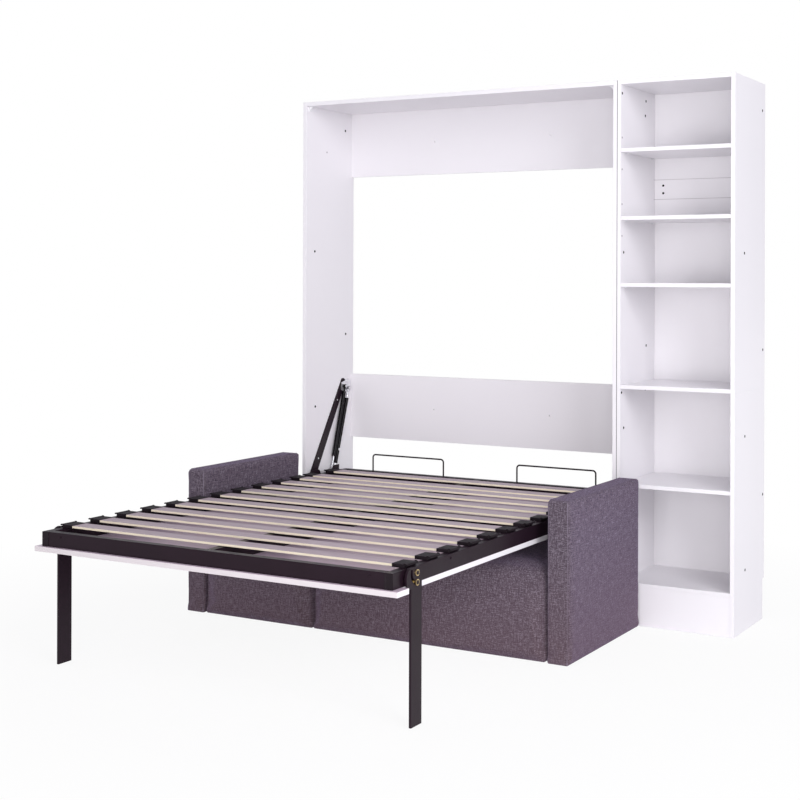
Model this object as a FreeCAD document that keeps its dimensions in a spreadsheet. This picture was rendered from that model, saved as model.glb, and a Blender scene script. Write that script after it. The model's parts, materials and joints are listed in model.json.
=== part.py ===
import FreeCAD, Part
import math
import os
import re

import Sketcher

# A wall bed with its sofa and side bookcase, bed lowered.
# Lengths are millimetres. The front faces -Y, the wall side faces +Y and +Z is up.
# Formulas below measure from the middle of the cabinet: X is 0 at its centre line,
# Y is 0 at the wall and Z is 0 on the floor. place() then moves everything to the
# row origin, the middle of the whole footprint on the floor.

SIZES = {
    # cabinet
    "cabinet_width": 1540,
    "cabinet_height": 2190,
    "cabinet_depth": 395,
    "cabinet_board": 18,
    "skirting_height": 165,
    "skirting_depth": 20,
    "upper_rail_height": 300,
    "lower_rail_height": 300,
    "lower_rail_rise": 632,
    "wall_hole_radius": 3,
    "wall_hole_spacing": 590,
    # bookcase beside the cabinet
    "bookcase_width": 490,
    "shelf_board": 16,
    "bottom_rise": 155,
    "first_shelf_drop": 290,
    "second_shelf_drop": 564,
    "third_shelf_drop": 833,
    "deck_drop": 1244,
    "shelf_setback": 2,
    "shelf_play": 0.4,
    "back_thickness": 4,
    "back_inset": 12,
    "strip_height": 83,
    "strip_drop": 462,
    "pin_radius": 2.5,
    "pin_length": 20,
    "pin_seat": 9,
    "pin_inset": 42,
    "pin_play": 0.1,
    # sofa in front of the cabinet
    "arm_gap": 30,
    "arm_thickness": 90,
    "arm_height": 600,
    "arm_rounding": 17,
    "sofa_depth": 690,
    "sofa_seat_height": 338,
    "seat_nose": 48,
    "seat_crown": 16,
    "seat_draw": 9,
    "seat_edge": 30,
    "sofa_play": 0.8,
    # bed frame and its panel
    "side_gap": 27,
    "top_gap": 5,
    "bed_rise": 422,
    "panel_board": 18,
    "panel_overhang": 14,
    "panel_play": 3,
    "ear_length": 70,
    "pivot_above": 40,
    "head_reach": 250,
    "rail_width": 30,
    "rail_height": 52,
    "rail_wall": 2,
    "rail_rounding": 1.5,
    "beam_width": 30,
    "middle_reach": 655,
    # slats and their holders, evenly spaced but for the two nearest the head
    "even_slats": 11,
    "close_pitch": 102,
    "head_pitch": 168,
    "slat_width": 66,
    "slat_thickness": 8,
    "slat_end_gap": 57,
    "slat_head_gap": 88,
    "holder_inside": 27,
    "holder_width": 46,
    "holder_wall": 2,
    "holder_seat": 30,
    # wire mattress guards
    "guard_inset": 163,
    "guard_width": 376,
    "guard_height": 76,
    "guard_wire": 3.5,
    "guard_bend": 14,
    # fold-out legs
    "leg_width": 64,
    "leg_thickness": 8,
    "leg_above": 18,
    "leg_rounding": 14,
    "leg_inset": 132,
    "leg_pivot_above": 14,
    "leg_gap": 6,
    "side_play": 0.3,
    "lobe_radius": 34,
    "lobe_ahead": 27,
    "lobe_below": 14,
    "slot_radius": 30,
    "slot_play": 0.8,
    "leg_bolt_radius": 5,
    "leg_bolt_head": 10,
    "leg_bolt_head_height": 4,
    "leg_collar_radius": 8,
    "socket_radius": 5,
    "socket_depth": 2.5,
    # bed pivot and the diagonal braces
    "pivot_radius": 8,
    "pivot_collar": 14,
    "pivot_nut": 12,
    "pivot_nut_height": 8,
    "turning_play": 0.1,
    "brace_width": 50,
    "brace_top_width": 34,
    "brace_thickness": 4,
    "brace_top_depth": 83,
    "brace_top_rise": 912,
    "brace_screw_radius": 4,
    "brace_screw_inset": 112,
    "plate_thickness": 3,
    "bracket_width": 84,
    "bracket_above": 50,
    "bracket_below": 16,
    "bracket_rounding": 22,
    # gas springs, a front and a rear one on each side
    "spring_offset": 14,
    "spring_radius": 9,
    "spring_bore": 4.4,
    "spring_neck": 5,
    "rod_radius": 4,
    "rod_engaged": 32,
    "collar_radius": 9.4,
    "collar_length": 38,
    "eye_radius": 9,
    "eye_thickness": 9,
    "stud_radius": 4,
    "stud_cap": 6,
    "stud_cap_height": 2,
    "neck_length": 26,
    "front_anchor_depth": 92,
    "front_anchor_rise": 878,
    "front_stud_back": 143,
    "front_stud_above": 8,
    "front_rod_shown": 94,
    "rear_anchor_depth": 62,
    "rear_anchor_rise": 868,
    "rear_stud_back": 175,
    "rear_stud_above": 35,
    "rear_rod_shown": 50,
    # plates that hold the springs
    "anchor_plate_margin": 18,
    "anchor_bolt_above": 24,
    "anchor_bolt_behind": 20,
    "anchor_bolt_radius": 3,
    "anchor_bolt_head": 6,
    "anchor_bolt_head_height": 4,
    "stud_margin": 20,
    # stops under the cabinet top
    "stop_width": 25,
    "stop_height": 21,
    "stop_depth": 31,
    "stop_wall": 3,
    "stop_play": 0.3,
    # overrun of every cut past the face that it opens
    "overrun": 3,
}

# Lengths that follow from the driving sizes, each written once.
DERIVED = {
    "inner_x": "cabinet_width / 2 - cabinet_board",
    "rail_x": "inner_x - side_gap",
    "pivot_back": "cabinet_depth - pivot_above",
    "pivot_rise": "bed_rise + pivot_above",
    "foot_reach": "cabinet_height - cabinet_board - top_gap - pivot_rise",
    "frame_reach": "foot_reach - panel_overhang",
    "frame_length": "frame_reach + head_reach",
    "rail_rise": "bed_rise + panel_board",
    "rail_top": "rail_rise + rail_height",
    "book_x": "cabinet_width / 2",
    "book_inner": "bookcase_width - 2 * shelf_board",
    "book_back": "back_inset + back_thickness",
    "first_shelf_rise": "cabinet_height - first_shelf_drop",
    "second_shelf_rise": "cabinet_height - second_shelf_drop",
    "third_shelf_rise": "cabinet_height - third_shelf_drop",
    "deck_rise": "cabinet_height - deck_drop",
    "low_shelf_rise": "(bottom_rise + deck_rise) / 2",
    "strip_rise": "cabinet_height - strip_drop",
    "sofa_inner_x": "inner_x + arm_gap",
    "sofa_x": "sofa_inner_x + arm_thickness",
    "leg_pivot_y": "-pivot_back - foot_reach + leg_inset",
    "leg_pivot_rise": "pivot_rise + leg_pivot_above",
    "leg_inner_x": "rail_x + leg_gap",
    "brace_run": "pivot_back - brace_top_depth",
    "brace_rise": "brace_top_rise - pivot_rise",
    "brace_length": "sqrt(brace_run ^ 2 + brace_rise ^ 2)",
    "slat_run": "frame_length - 2 * rail_width - slat_end_gap - slat_head_gap - slat_width",
    "even_reach": "slat_run - close_pitch - head_pitch",
    "close_slat": "even_reach + close_pitch",
    "head_slat": "close_slat + head_pitch",
    "slat_x": "rail_x - rail_width - holder_inside + holder_seat",
    "holder_height": "slat_thickness + 2 * holder_wall",
    "centre_x": "(cabinet_width / 2 + bookcase_width - sofa_x) / 2",
    "centre_y": "-(pivot_back + foot_reach) / 2",
}

# Each spring runs from its anchor on the cabinet to its stud on the bed.
for spring in ("front", "rear"):
    anchor_depth = f"{spring}_anchor_depth"
    anchor_rise = f"{spring}_anchor_rise"
    stud_back = f"{spring}_stud_back"
    stud_above = f"{spring}_stud_above"
    DERIVED[f"{spring}_run"] = f"pivot_back - {stud_back} - {anchor_depth}"
    DERIVED[f"{spring}_drop"] = f"{anchor_rise} - pivot_rise - {stud_above}"
    DERIVED[f"{spring}_length"] = f"sqrt({spring}_run ^ 2 + {spring}_drop ^ 2)"
    DERIVED[f"{spring}_raised_run"] = f"pivot_back - {stud_above} - {anchor_depth}"
    DERIVED[f"{spring}_raised_drop"] = f"{anchor_rise} - pivot_rise + {stud_back}"
    DERIVED[f"{spring}_stroke"] = (
        f"sqrt({spring}_raised_run ^ 2 + {spring}_raised_drop ^ 2) - {spring}_length"
    )

# The short seat's share of the sofa's inner width.
SHORT_SEAT_SHARE = 0.345

# How much of a seat's crown is left at its ends, and a little way in from them.
END_CROWN_SHARE = 0.35
EDGE_CROWN_SHARE = 0.8

# The leg swings through a right angle, and its slot runs a little further, in degrees.
SLOT_SWEEP = 105

SIDES = ("left", "right")

doc = FreeCAD.newDocument("WallBed")
sheet = doc.addObject("Spreadsheet::Sheet", "Sizes")
for row, (alias, length) in enumerate(SIZES.items(), start=1):
    sheet.set(f"A{row}", alias)
    sheet.set(f"B{row}", str(length))
    sheet.setAlias(f"B{row}", alias)
doc.recompute()

nodes = []


def formula(text):
    """Write a formula in the sheet's cells, with the derived lengths spelled out."""
    def spell(match):
        word = match.group()
        if word in DERIVED:
            return f"({formula(DERIVED[word])})"
        return f"Sizes.{word}" if word in SIZES else word
    return re.sub(r"[a-z_]\w*", spell, str(text))


def bind(thing, prop, text):
    thing.setExpression(prop, formula(text))


def cell(alias):
    return float(sheet.get(alias))


def place(thing, x, y, z):
    """Put a piece at a place given from the cabinet's middle, the wall and the floor."""
    bind(thing, "Placement.Base.x", f"{x} - centre_x")
    bind(thing, "Placement.Base.y", f"{y} - centre_y")
    bind(thing, "Placement.Base.z", z)


def lean(thing, angle):
    """Turn a piece about the X axis, by a formula in degrees."""
    thing.Placement = FreeCAD.Placement(FreeCAD.Vector(), FreeCAD.Rotation(FreeCAD.Vector(1, 0, 0), 1))
    bind(thing, "Placement.Rotation.Angle", angle)


def keep(thing, label):
    """Name a finished piece and list it for the parts folder."""
    thing.Label = label
    nodes.append(thing)
    return thing


def box(label, low, size):
    """A plain board: its low corner and its size along X, Y and Z."""
    board = doc.addObject("Part::Box", label)
    for prop, text in zip(("Length", "Width", "Height"), size):
        bind(board, prop, text)
    place(board, *low)
    return keep(board, label)


def new_body(label):
    return keep(doc.addObject("PartDesign::Body", label), label)


def sketch(body, name, role):
    """An empty sketch on one of the body's own origin planes."""
    drawing = body.newObject("Sketcher::SketchObject", name)
    planes = [item for item in body.Origin.OriginFeatures if item.Role == role]
    drawing.AttachmentSupport = (planes[0], [""])
    drawing.MapMode = "FlatFace"
    return drawing


def pin_point(drawing, edge, end, x, y):
    """Hold a point of a sketch at a place given by two formulas."""
    for kind, text in (("DistanceX", x), ("DistanceY", y)):
        index = drawing.addConstraint(Sketcher.Constraint(kind, -1, 1, edge, end, 1.0))
        bind(drawing, f"Constraints[{index}]", text)


def outline(drawing, points):
    """A closed outline of straight lines through points given by formulas."""
    edges = []
    for index, _ in enumerate(points):
        start = FreeCAD.Vector(index, index * index, 0)
        end = FreeCAD.Vector(index + 1, index * index + 1, 0)
        edges.append(drawing.addGeometry(Part.LineSegment(start, end), False))
    for index, edge in enumerate(edges):
        following = edges[(index + 1) % len(edges)]
        drawing.addConstraint(Sketcher.Constraint("Coincident", edge, 2, following, 1))
    for edge, (x, y) in zip(edges, points):
        pin_point(drawing, edge, 1, x, y)


def rectangle(drawing, low, high):
    corners = [(low[0], low[1]), (high[0], low[1]), (high[0], high[1]), (low[0], high[1])]
    outline(drawing, corners)


def circle(drawing, x, y, radius):
    ring = Part.Circle(FreeCAD.Vector(1, 1, 0), FreeCAD.Vector(0, 0, 1), 1.0)
    edge = drawing.addGeometry(ring, False)
    pin_point(drawing, edge, 3, x, y)
    index = drawing.addConstraint(Sketcher.Constraint("Radius", edge, 1.0))
    bind(drawing, f"Constraints[{index}]", radius)


def pad(body, drawing, length, backwards=False, centred=False):
    feature = body.newObject("PartDesign::Pad", drawing.Name + "_pad")
    feature.Profile = drawing
    feature.Reversed = backwards
    feature.Midplane = centred
    bind(feature, "Length", length)
    return feature


def bore(body, drawing):
    """Cut a sketch right through, both ways from its plane."""
    feature = body.newObject("PartDesign::Pocket", drawing.Name + "_bore")
    feature.Profile = drawing
    feature.Type = "ThroughAll"
    feature.Midplane = True
    return feature


def turn(body, drawing, axis):
    feature = body.newObject("PartDesign::Revolution", drawing.Name + "_turn")
    feature.Profile = drawing
    feature.ReferenceAxis = (drawing, [axis])
    feature.Angle = 360
    return feature


def straight_edges(shape, direction):
    """Names of the straight edges that run along a direction."""
    names = []
    for index, edge in enumerate(shape.Edges, start=1):
        if edge.Curve.TypeId != "Part::GeomLine":
            continue
        along = edge.tangentAt(edge.FirstParameter)
        if abs(along.dot(direction)) > math.cos(math.radians(1)):
            names.append((f"Edge{index}", edge))
    return names


def fillet(body, base, names, radius):
    feature = body.newObject("PartDesign::Fillet", base.Name + "_round")
    feature.Base = (base, names)
    bind(feature, "Radius", radius)
    return feature


def outwards(side, text):
    """A distance from the middle, to the left or to the right."""
    return f"-({text})" if side == "left" else f"({text})"


def group(label, pieces):
    """Loose pieces that are one node."""
    bundle = doc.addObject("Part::Compound", label)
    bundle.Links = pieces
    return keep(bundle, label)


# Cabinet

def side_panel(label, side, inner, height, rise="0", notched=True, holes=()):
    """An upright board, from its inner face outwards, with a notch for the skirting.

    The holes are blind and open on the inner face.
    """
    panel = new_body(label)
    face = sketch(panel, label + "_face", "YZ_Plane")
    corners = [("-cabinet_depth", "0"), ("0", "0"), ("0", height), ("-cabinet_depth", height)]
    if notched:
        notch = [("-skirting_depth", "0"), ("-skirting_depth", "skirting_height"), ("0", "skirting_height")]
        corners[1:2] = notch
    outline(face, corners)
    thickness = "shelf_board" if label.startswith("bookcase") else "cabinet_board"
    pad(panel, face, thickness, backwards=side == "left")
    if holes:
        drilled = sketch(panel, label + "_holes", "YZ_Plane")
        for depth, hole_rise in holes:
            circle(drilled, depth, f"{hole_rise} - ({rise})", "pin_radius + pin_play")
        drill = panel.newObject("PartDesign::Pocket", label + "_drill")
        drill.Profile = drilled
        drill.Reversed = side == "right"
        bind(drill, "Length", "pin_seat + pin_play")
    place(panel, inner, "0", rise)
    return panel


def rear_rail(label, rise, height):
    """A board across the back, screwed to the wall through a pair of holes."""
    rail = new_body(label)
    face = sketch(rail, label + "_face", "XZ_Plane")
    rectangle(face, ("-(inner_x)", "0"), ("inner_x", height))
    pad(rail, face, "cabinet_board")
    drilled = sketch(rail, label + "_holes", "XZ_Plane")
    for side in SIDES:
        circle(drilled, outwards(side, "wall_hole_spacing / 2"), f"{height} / 2", "wall_hole_radius")
    bore(rail, drilled)
    place(rail, "0", "0", rise)
    return rail


def top_stop(side):
    """A folded corner bracket under the top: two flanges and a web, which the panel meets."""
    stop = new_body(f"top_stop_{side}")
    face = sketch(stop, f"stop_face_{side}", "XZ_Plane")
    inward = "right" if side == "left" else "left"
    rim = [
        ("0", "0"),
        (outwards(inward, "stop_width"), "0"),
        (outwards(inward, "stop_width"), "-stop_wall"),
        (outwards(inward, "stop_wall"), "-stop_wall"),
        (outwards(inward, "stop_wall"), "-stop_height"),
        ("0", "-stop_height"),
    ]
    outline(face, rim)
    pad(stop, face, "stop_depth", backwards=True)
    web = sketch(stop, f"stop_web_{side}", "XZ_Plane")
    outline(web, [("0", "0"), (outwards(inward, "stop_width"), "0"), ("0", "-stop_height")])
    pad(stop, web, "stop_wall", backwards=True)
    front = "-cabinet_depth + panel_board + stop_play"
    place(stop, outwards(side, "inner_x"), front, "cabinet_height - cabinet_board")
    return stop


def make_cabinet():
    for side in SIDES:
        side_panel(f"cabinet_{side}_side", side, outwards(side, "inner_x"), "cabinet_height")
    top_low = ("-(inner_x)", "-cabinet_depth", "cabinet_height - cabinet_board")
    box("cabinet_top", top_low, ("2 * inner_x", "cabinet_depth", "cabinet_board"))
    upper_rise = "cabinet_height - cabinet_board - upper_rail_height"
    rear_rail("upper_rear_rail", upper_rise, "upper_rail_height")
    rear_rail("lower_rear_rail", "lower_rail_rise", "lower_rail_height")
    for side in SIDES:
        top_stop(side)


# Bookcase

LOWER_SHELVES = ("low_shelf_rise",)
UPPER_SHELVES = ("third_shelf_rise", "second_shelf_rise", "first_shelf_rise")
PIN_DEPTHS = ("-cabinet_depth + pin_inset", "-book_back - pin_inset")


def book_inner_x(side):
    """The inner face of a side panel of the bookcase."""
    return "book_x + shelf_board" if side == "left" else "book_x + bookcase_width - shelf_board"


def bookcase_board(label, rise):
    """A board between the two sides, in front of the back panel."""
    low = ("book_x + shelf_board", "-cabinet_depth + shelf_setback", rise)
    size = ("book_inner", "cabinet_depth - shelf_setback - book_back", "shelf_board")
    return box(label, low, size)


def loose_shelf(label, rise):
    """A shelf that lies on pins, with a little play at its ends."""
    low = ("book_x + shelf_board + shelf_play", "-cabinet_depth + shelf_setback", rise)
    size = ("book_inner - 2 * shelf_play", "cabinet_depth - shelf_setback - book_back", "shelf_board")
    return box(label, low, size)


def shelf_pin(side, depth, rise):
    pin = doc.addObject("Part::Cylinder", "pin")
    bind(pin, "Radius", "pin_radius")
    bind(pin, "Height", "pin_length")
    pin.Placement = FreeCAD.Placement(FreeCAD.Vector(), FreeCAD.Rotation(FreeCAD.Vector(0, 1, 0), 90))
    start = "pin_seat" if side == "left" else "pin_length - pin_seat"
    place(pin, f"{book_inner_x(side)} - ({start})", depth, f"{rise} - pin_radius")
    return pin


def make_bookcase():
    for unit, shelves, rise, height in (
        ("lower", LOWER_SHELVES, "0", "deck_rise"),
        ("upper", UPPER_SHELVES, "deck_rise", "cabinet_height - deck_rise"),
    ):
        holes = [(depth, f"{shelf} - pin_radius") for shelf in shelves for depth in PIN_DEPTHS]
        for side in SIDES:
            label = f"bookcase_{unit}_{side}_side"
            side_panel(label, side, book_inner_x(side), height, rise, unit == "lower", holes)
    bookcase_board("bookcase_top", "cabinet_height - shelf_board")
    bookcase_board("bookcase_deck", "deck_rise")
    bookcase_board("bookcase_bottom", "bottom_rise")
    loose_shelf("shelf_first", "first_shelf_rise")
    loose_shelf("shelf_second", "second_shelf_rise")
    loose_shelf("shelf_third", "third_shelf_rise")
    loose_shelf("shelf_low", "low_shelf_rise")
    plinth_low = ("book_x + shelf_board", "-cabinet_depth + shelf_setback", "0")
    box("bookcase_plinth", plinth_low, ("book_inner", "shelf_board", "bottom_rise"))
    for label, rise, top in (
        ("bookcase_lower_back", "bottom_rise", "deck_rise"),
        ("bookcase_upper_back", "deck_rise", "cabinet_height"),
    ):
        low = ("book_x + shelf_board", "-book_back", rise)
        box(label, low, ("book_inner", "back_thickness", f"{top} - ({rise})"))
    strip_low = ("book_x + shelf_board", "-back_inset", "strip_rise")
    box("bookcase_wall_strip", strip_low, ("book_inner", "back_inset", "strip_height"))
    pins = []
    for shelf in LOWER_SHELVES + UPPER_SHELVES:
        for side in SIDES:
            pins.extend(shelf_pin(side, depth, shelf) for depth in PIN_DEPTHS)
    group("shelf_pins", pins)


# Sofa

def sofa_arm(side):
    """An upholstered slab: every edge but those on the floor is round."""
    arm = new_body(f"sofa_arm_{side}")
    face = sketch(arm, f"arm_face_{side}", "YZ_Plane")
    rectangle(face, ("-sofa_depth", "0"), ("0", "arm_height"))
    slab = pad(arm, face, "arm_thickness", backwards=side == "left")
    doc.recompute()
    upper = []
    for index, edge in enumerate(slab.Shape.Edges, start=1):
        if edge.CenterOfMass.z > cell("arm_rounding"):
            upper.append(f"Edge{index}")
    fillet(arm, slab, upper, "arm_rounding")
    place(arm, outwards(side, "sofa_inner_x"), "-cabinet_depth - sofa_play", "0")
    return arm


def seat_section(across, drawn, crown):
    """The outline of a seat at one place across it: flat floor, upright front, round nose, crowned top."""
    depth = cell("sofa_depth")
    height = cell("sofa_seat_height") - drawn
    nose = cell("seat_nose")
    back = -drawn
    front = -depth + drawn
    floor_back = FreeCAD.Vector(across, back, 0)
    top_back = FreeCAD.Vector(across, back, height)
    top_middle = FreeCAD.Vector(across, (back + front + nose) / 2, height + crown)
    top_front = FreeCAD.Vector(across, front + nose, height)
    bend = nose * (1 - math.sqrt(0.5))
    nose_middle = FreeCAD.Vector(across, front + bend, height - bend)
    front_top = FreeCAD.Vector(across, front, height - nose)
    floor_front = FreeCAD.Vector(across, front, 0)
    return Part.Wire([
        Part.LineSegment(floor_back, top_back).toShape(),
        Part.Arc(top_back, top_middle, top_front).toShape(),
        Part.Arc(top_front, nose_middle, front_top).toShape(),
        Part.LineSegment(front_top, floor_front).toShape(),
        Part.LineSegment(floor_front, floor_back).toShape(),
    ])


def sofa_seat(label, start, width):
    """A padded seat block, drawn in at both ends and crowned between them."""
    edge = cell("seat_edge")
    draw = cell("seat_draw")
    crown = cell("seat_crown")
    end_crown = END_CROWN_SHARE * crown
    edge_crown = EDGE_CROWN_SHARE * crown
    stations = (
        (0, draw, end_crown),
        (edge, 0, edge_crown),
        (width / 2, 0, crown),
        (width - edge, 0, edge_crown),
        (width, draw, end_crown),
    )
    sections = [seat_section(*station) for station in stations]
    seat = doc.addObject("Part::Feature", label)
    seat.Shape = Part.makeLoft(sections, True, True)
    place(seat, str(start), "-cabinet_depth - sofa_play", "0")
    return keep(seat, label)


def make_sofa():
    for side in SIDES:
        sofa_arm(side)
    play = cell("sofa_play")
    inner = 2 * (cell("cabinet_width") / 2 - cell("cabinet_board") + cell("arm_gap"))
    short = SHORT_SEAT_SHARE * inner - 2 * play
    long = (1 - SHORT_SEAT_SHARE) * inner - 2 * play
    sofa_seat("sofa_seat_short", "-sofa_inner_x + sofa_play", short)
    sofa_seat("sofa_seat_long", f"-sofa_inner_x + 2 * sofa_inner_x * {SHORT_SEAT_SHARE} + sofa_play", long)


# Bed frame

def front_panel():
    """The panel under the whole frame: ears at the foot, narrower behind them to clear the legs."""
    panel = new_body("front_panel")
    plan = sketch(panel, "panel_plan", "XY_Plane")
    half = [
        ("inner_x - panel_play", "0"),
        ("inner_x - panel_play", "ear_length"),
        ("rail_x", "ear_length"),
        ("rail_x", "foot_reach + head_reach"),
    ]
    mirrored = [(f"-({x})", y) for x, y in reversed(half)]
    outline(plan, half + mirrored)
    pad(panel, plan, "panel_board")
    place(panel, "0", "-pivot_back - foot_reach", "bed_rise")
    return panel


def tube(body, name, role, low, high, length, wall):
    """A closed steel tube with rounded corners, drawn in section."""
    section = sketch(body, name + "_section", role)
    rectangle(section, low, high)
    outside = pad(body, section, length)
    doc.recompute()
    longest = max(outside.Shape.Edges, key=lambda edge: edge.Length)
    run = longest.tangentAt(longest.FirstParameter)
    names = [edge_name for edge_name, _ in straight_edges(outside.Shape, run)]
    fillet(body, outside, names, "rail_rounding")
    hollow = sketch(body, name + "_hollow", role)
    inner_low = [f"{low[0]} + {wall}", f"{low[1]} + {wall}"]
    inner_high = [f"{high[0]} - {wall}", f"{high[1]} - {wall}"]
    rectangle(hollow, inner_low, inner_high)
    bore(body, hollow)


def side_rail(side):
    """A rail along the bed, drilled for the pivot and the two leg bolts."""
    rail = new_body(f"bed_rail_{side}")
    name = f"rail_{side}"
    tube(rail, name, "XZ_Plane", ("0", "0"), ("rail_width", "rail_height"), "frame_length", "rail_wall")
    drilled = sketch(rail, name + "_holes", "YZ_Plane")
    pivot_up = "pivot_above - panel_board"
    circle(drilled, "-head_reach", pivot_up, "pivot_radius + turning_play")
    leg_up = f"{pivot_up} + leg_pivot_above"
    leg_along = "leg_inset - panel_overhang - frame_length"
    circle(drilled, leg_along, leg_up, "leg_bolt_radius + pin_play")
    circle(drilled, leg_along, f"{leg_up} - slot_radius", "leg_bolt_radius + pin_play")
    holes = rail.newObject("PartDesign::Pocket", name + "_drill")
    holes.Profile = drilled
    holes.Reversed = side == "left"
    if side == "right":
        drilled.AttachmentOffset = FreeCAD.Placement(FreeCAD.Vector(), FreeCAD.Rotation())
        bind(drilled, "AttachmentOffset.Base.z", "rail_width")
    bind(holes, "Length", "rail_width / 2")
    low = "-(rail_x)" if side == "left" else "rail_x - rail_width"
    place(rail, low, "-pivot_back + head_reach", "rail_rise")
    return rail


def cross_rail(label, rear):
    """A rail across the bed between the two side rails."""
    rail = new_body(label)
    tube(rail, label, "YZ_Plane", ("0", "0"), ("rail_width", "rail_height"),
         "2 * (rail_x - rail_width)", "rail_wall")
    place(rail, "-(rail_x) + rail_width", rear, "rail_rise")
    return rail


def centre_beam():
    """A tube of the rails' height along the middle of the bed, between the foot and head rails."""
    beam = new_body("centre_beam")
    tube(beam, "beam", "XZ_Plane", ("-beam_width / 2", "0"), ("beam_width / 2", "rail_height"),
         "frame_length - 2 * rail_width", "rail_wall")
    place(beam, "0", "-pivot_back + head_reach - rail_width", "rail_rise")
    return beam


def middle_rail():
    """A rail across the bed in two halves, one on each side of the centre beam."""
    halves = []
    for side in SIDES:
        half = doc.addObject("PartDesign::Body", f"middle_half_{side}")
        tube(half, f"middle_{side}", "YZ_Plane", ("0", "0"), ("rail_width", "rail_height"),
             "rail_x - rail_width - beam_width / 2", "rail_wall")
        start = "-(rail_x) + rail_width" if side == "left" else "beam_width / 2"
        place(half, start, "-pivot_back - middle_reach", "rail_rise")
        halves.append(half)
    return group("bed_middle_rail", halves)


def repeat_rows(body, feature, drawing):
    """Repeat a feature once for each evenly spaced slat, towards the head."""
    row = body.newObject("PartDesign::LinearPattern", feature.Name + "_row")
    row.Originals = [feature]
    row.Direction = (drawing, ["V_Axis"])
    bind(row, "Length", "even_reach")
    bind(row, "Occurrences", "even_slats")
    body.Tip = row
    return row


def head_rows(drawing, start, end, margin="0"):
    """Outline the two rows nearest the head, from start to end across the bed."""
    for along in ("close_slat", "head_slat"):
        rectangle(drawing, (start, f"{along} - {margin}"), (end, f"{along} + slat_width + {margin}"))


def first_slat_y():
    return "-pivot_back - frame_reach + rail_width + slat_end_gap"


def make_slats():
    """Wooden slats across the bed, their ends in holders on the side rails."""
    slats = new_body("slats")
    plan = sketch(slats, "slat_plan", "XY_Plane")
    rectangle(plan, ("-(slat_x)", "0"), ("slat_x", "slat_width"))
    first = pad(slats, plan, "slat_thickness")
    repeat_rows(slats, first, plan)
    head_plan = sketch(slats, "head_slat_plan", "XY_Plane")
    head_rows(head_plan, "-(slat_x)", "slat_x")
    pad(slats, head_plan, "slat_thickness")
    place(slats, "0", first_slat_y(), "rail_top + holder_wall")


def slat_cut(holders, hollow):
    """Cut room for the slats' ends, upwards from the hollow's outline."""
    cut = holders.newObject("PartDesign::Pocket", hollow.Name + "_cut")
    cut.Profile = hollow
    cut.Reversed = True
    bind(cut, "Length", "slat_thickness")
    doc.recompute()
    return cut


def slat_holder_row(side):
    """Plastic sleeves over the slat ends, open towards the middle of the bed."""
    holders = doc.addObject("PartDesign::Body", f"holders_{side}")
    inward = "right" if side == "left" else "left"
    mouth = outwards(inward, "holder_inside")
    outer = outwards(side, "holder_width - holder_inside")
    section = sketch(holders, f"holder_section_{side}", "XY_Plane")
    rectangle(section, (outer, "-holder_wall"), (mouth, "slat_width + holder_wall"))
    block = pad(holders, section, "holder_height")
    repeat_rows(holders, block, section)
    head_section = sketch(holders, f"head_holder_section_{side}", "XY_Plane")
    head_rows(head_section, outer, mouth, "holder_wall")
    pad(holders, head_section, "holder_height")
    hollow = sketch(holders, f"holder_hollow_{side}", "XY_Plane")
    far = outwards(side, "holder_seat - holder_inside")
    past = outwards(inward, "holder_inside + overrun")
    rectangle(hollow, (far, "0"), (past, "slat_width"))
    bind(hollow, "AttachmentOffset.Base.z", "holder_wall")
    cut = slat_cut(holders, hollow)
    repeat_rows(holders, cut, hollow)
    head_hollow = sketch(holders, f"head_holder_hollow_{side}", "XY_Plane")
    head_rows(head_hollow, far, past)
    bind(head_hollow, "AttachmentOffset.Base.z", "holder_wall")
    slat_cut(holders, head_hollow)
    place(holders, outwards(side, "rail_x - rail_width"), first_slat_y(), "rail_top")
    return holders


def guard_wire(side):
    """A wire loop on the head rail that keeps the mattress in place: two legs, two bends, one bar."""
    guard = doc.addObject("Part::Feature", f"mattress_guard_{side}")
    width = cell("guard_width")
    height = cell("guard_height")
    bend = cell("guard_bend")
    corner = bend * (1 - math.sqrt(0.5))
    foot = FreeCAD.Vector(0, 0, 0)
    rise = FreeCAD.Vector(0, 0, height - bend)
    turned = FreeCAD.Vector(corner, 0, height - corner)
    bar = FreeCAD.Vector(bend, 0, height)
    bar_end = FreeCAD.Vector(width - bend, 0, height)
    turned_end = FreeCAD.Vector(width - corner, 0, height - corner)
    fall = FreeCAD.Vector(width, 0, height - bend)
    foot_end = FreeCAD.Vector(width, 0, 0)
    path = Part.Wire([
        Part.LineSegment(foot, rise).toShape(),
        Part.Arc(rise, turned, bar).toShape(),
        Part.LineSegment(bar, bar_end).toShape(),
        Part.Arc(bar_end, turned_end, fall).toShape(),
        Part.LineSegment(fall, foot_end).toShape(),
    ])
    section = Part.Wire(Part.makeCircle(cell("guard_wire"), foot, FreeCAD.Vector(0, 0, 1)))
    guard.Shape = path.makePipeShell([section], True, False)
    low = "guard_inset - rail_x" if side == "left" else "rail_x - guard_inset - guard_width"
    place(guard, low, "-pivot_back + head_reach - rail_width / 2", "rail_top")
    return keep(guard, f"mattress_guard_{side}")


def make_bed_frame():
    front_panel()
    for side in SIDES:
        side_rail(side)
    cross_rail("bed_foot_rail", "-pivot_back - frame_reach")
    cross_rail("bed_head_rail", "-pivot_back + head_reach - rail_width")
    centre_beam()
    middle_rail()
    make_slats()
    group("slat_holders", [slat_holder_row(side) for side in SIDES])
    for side in SIDES:
        guard_wire(side)


# Legs

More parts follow.
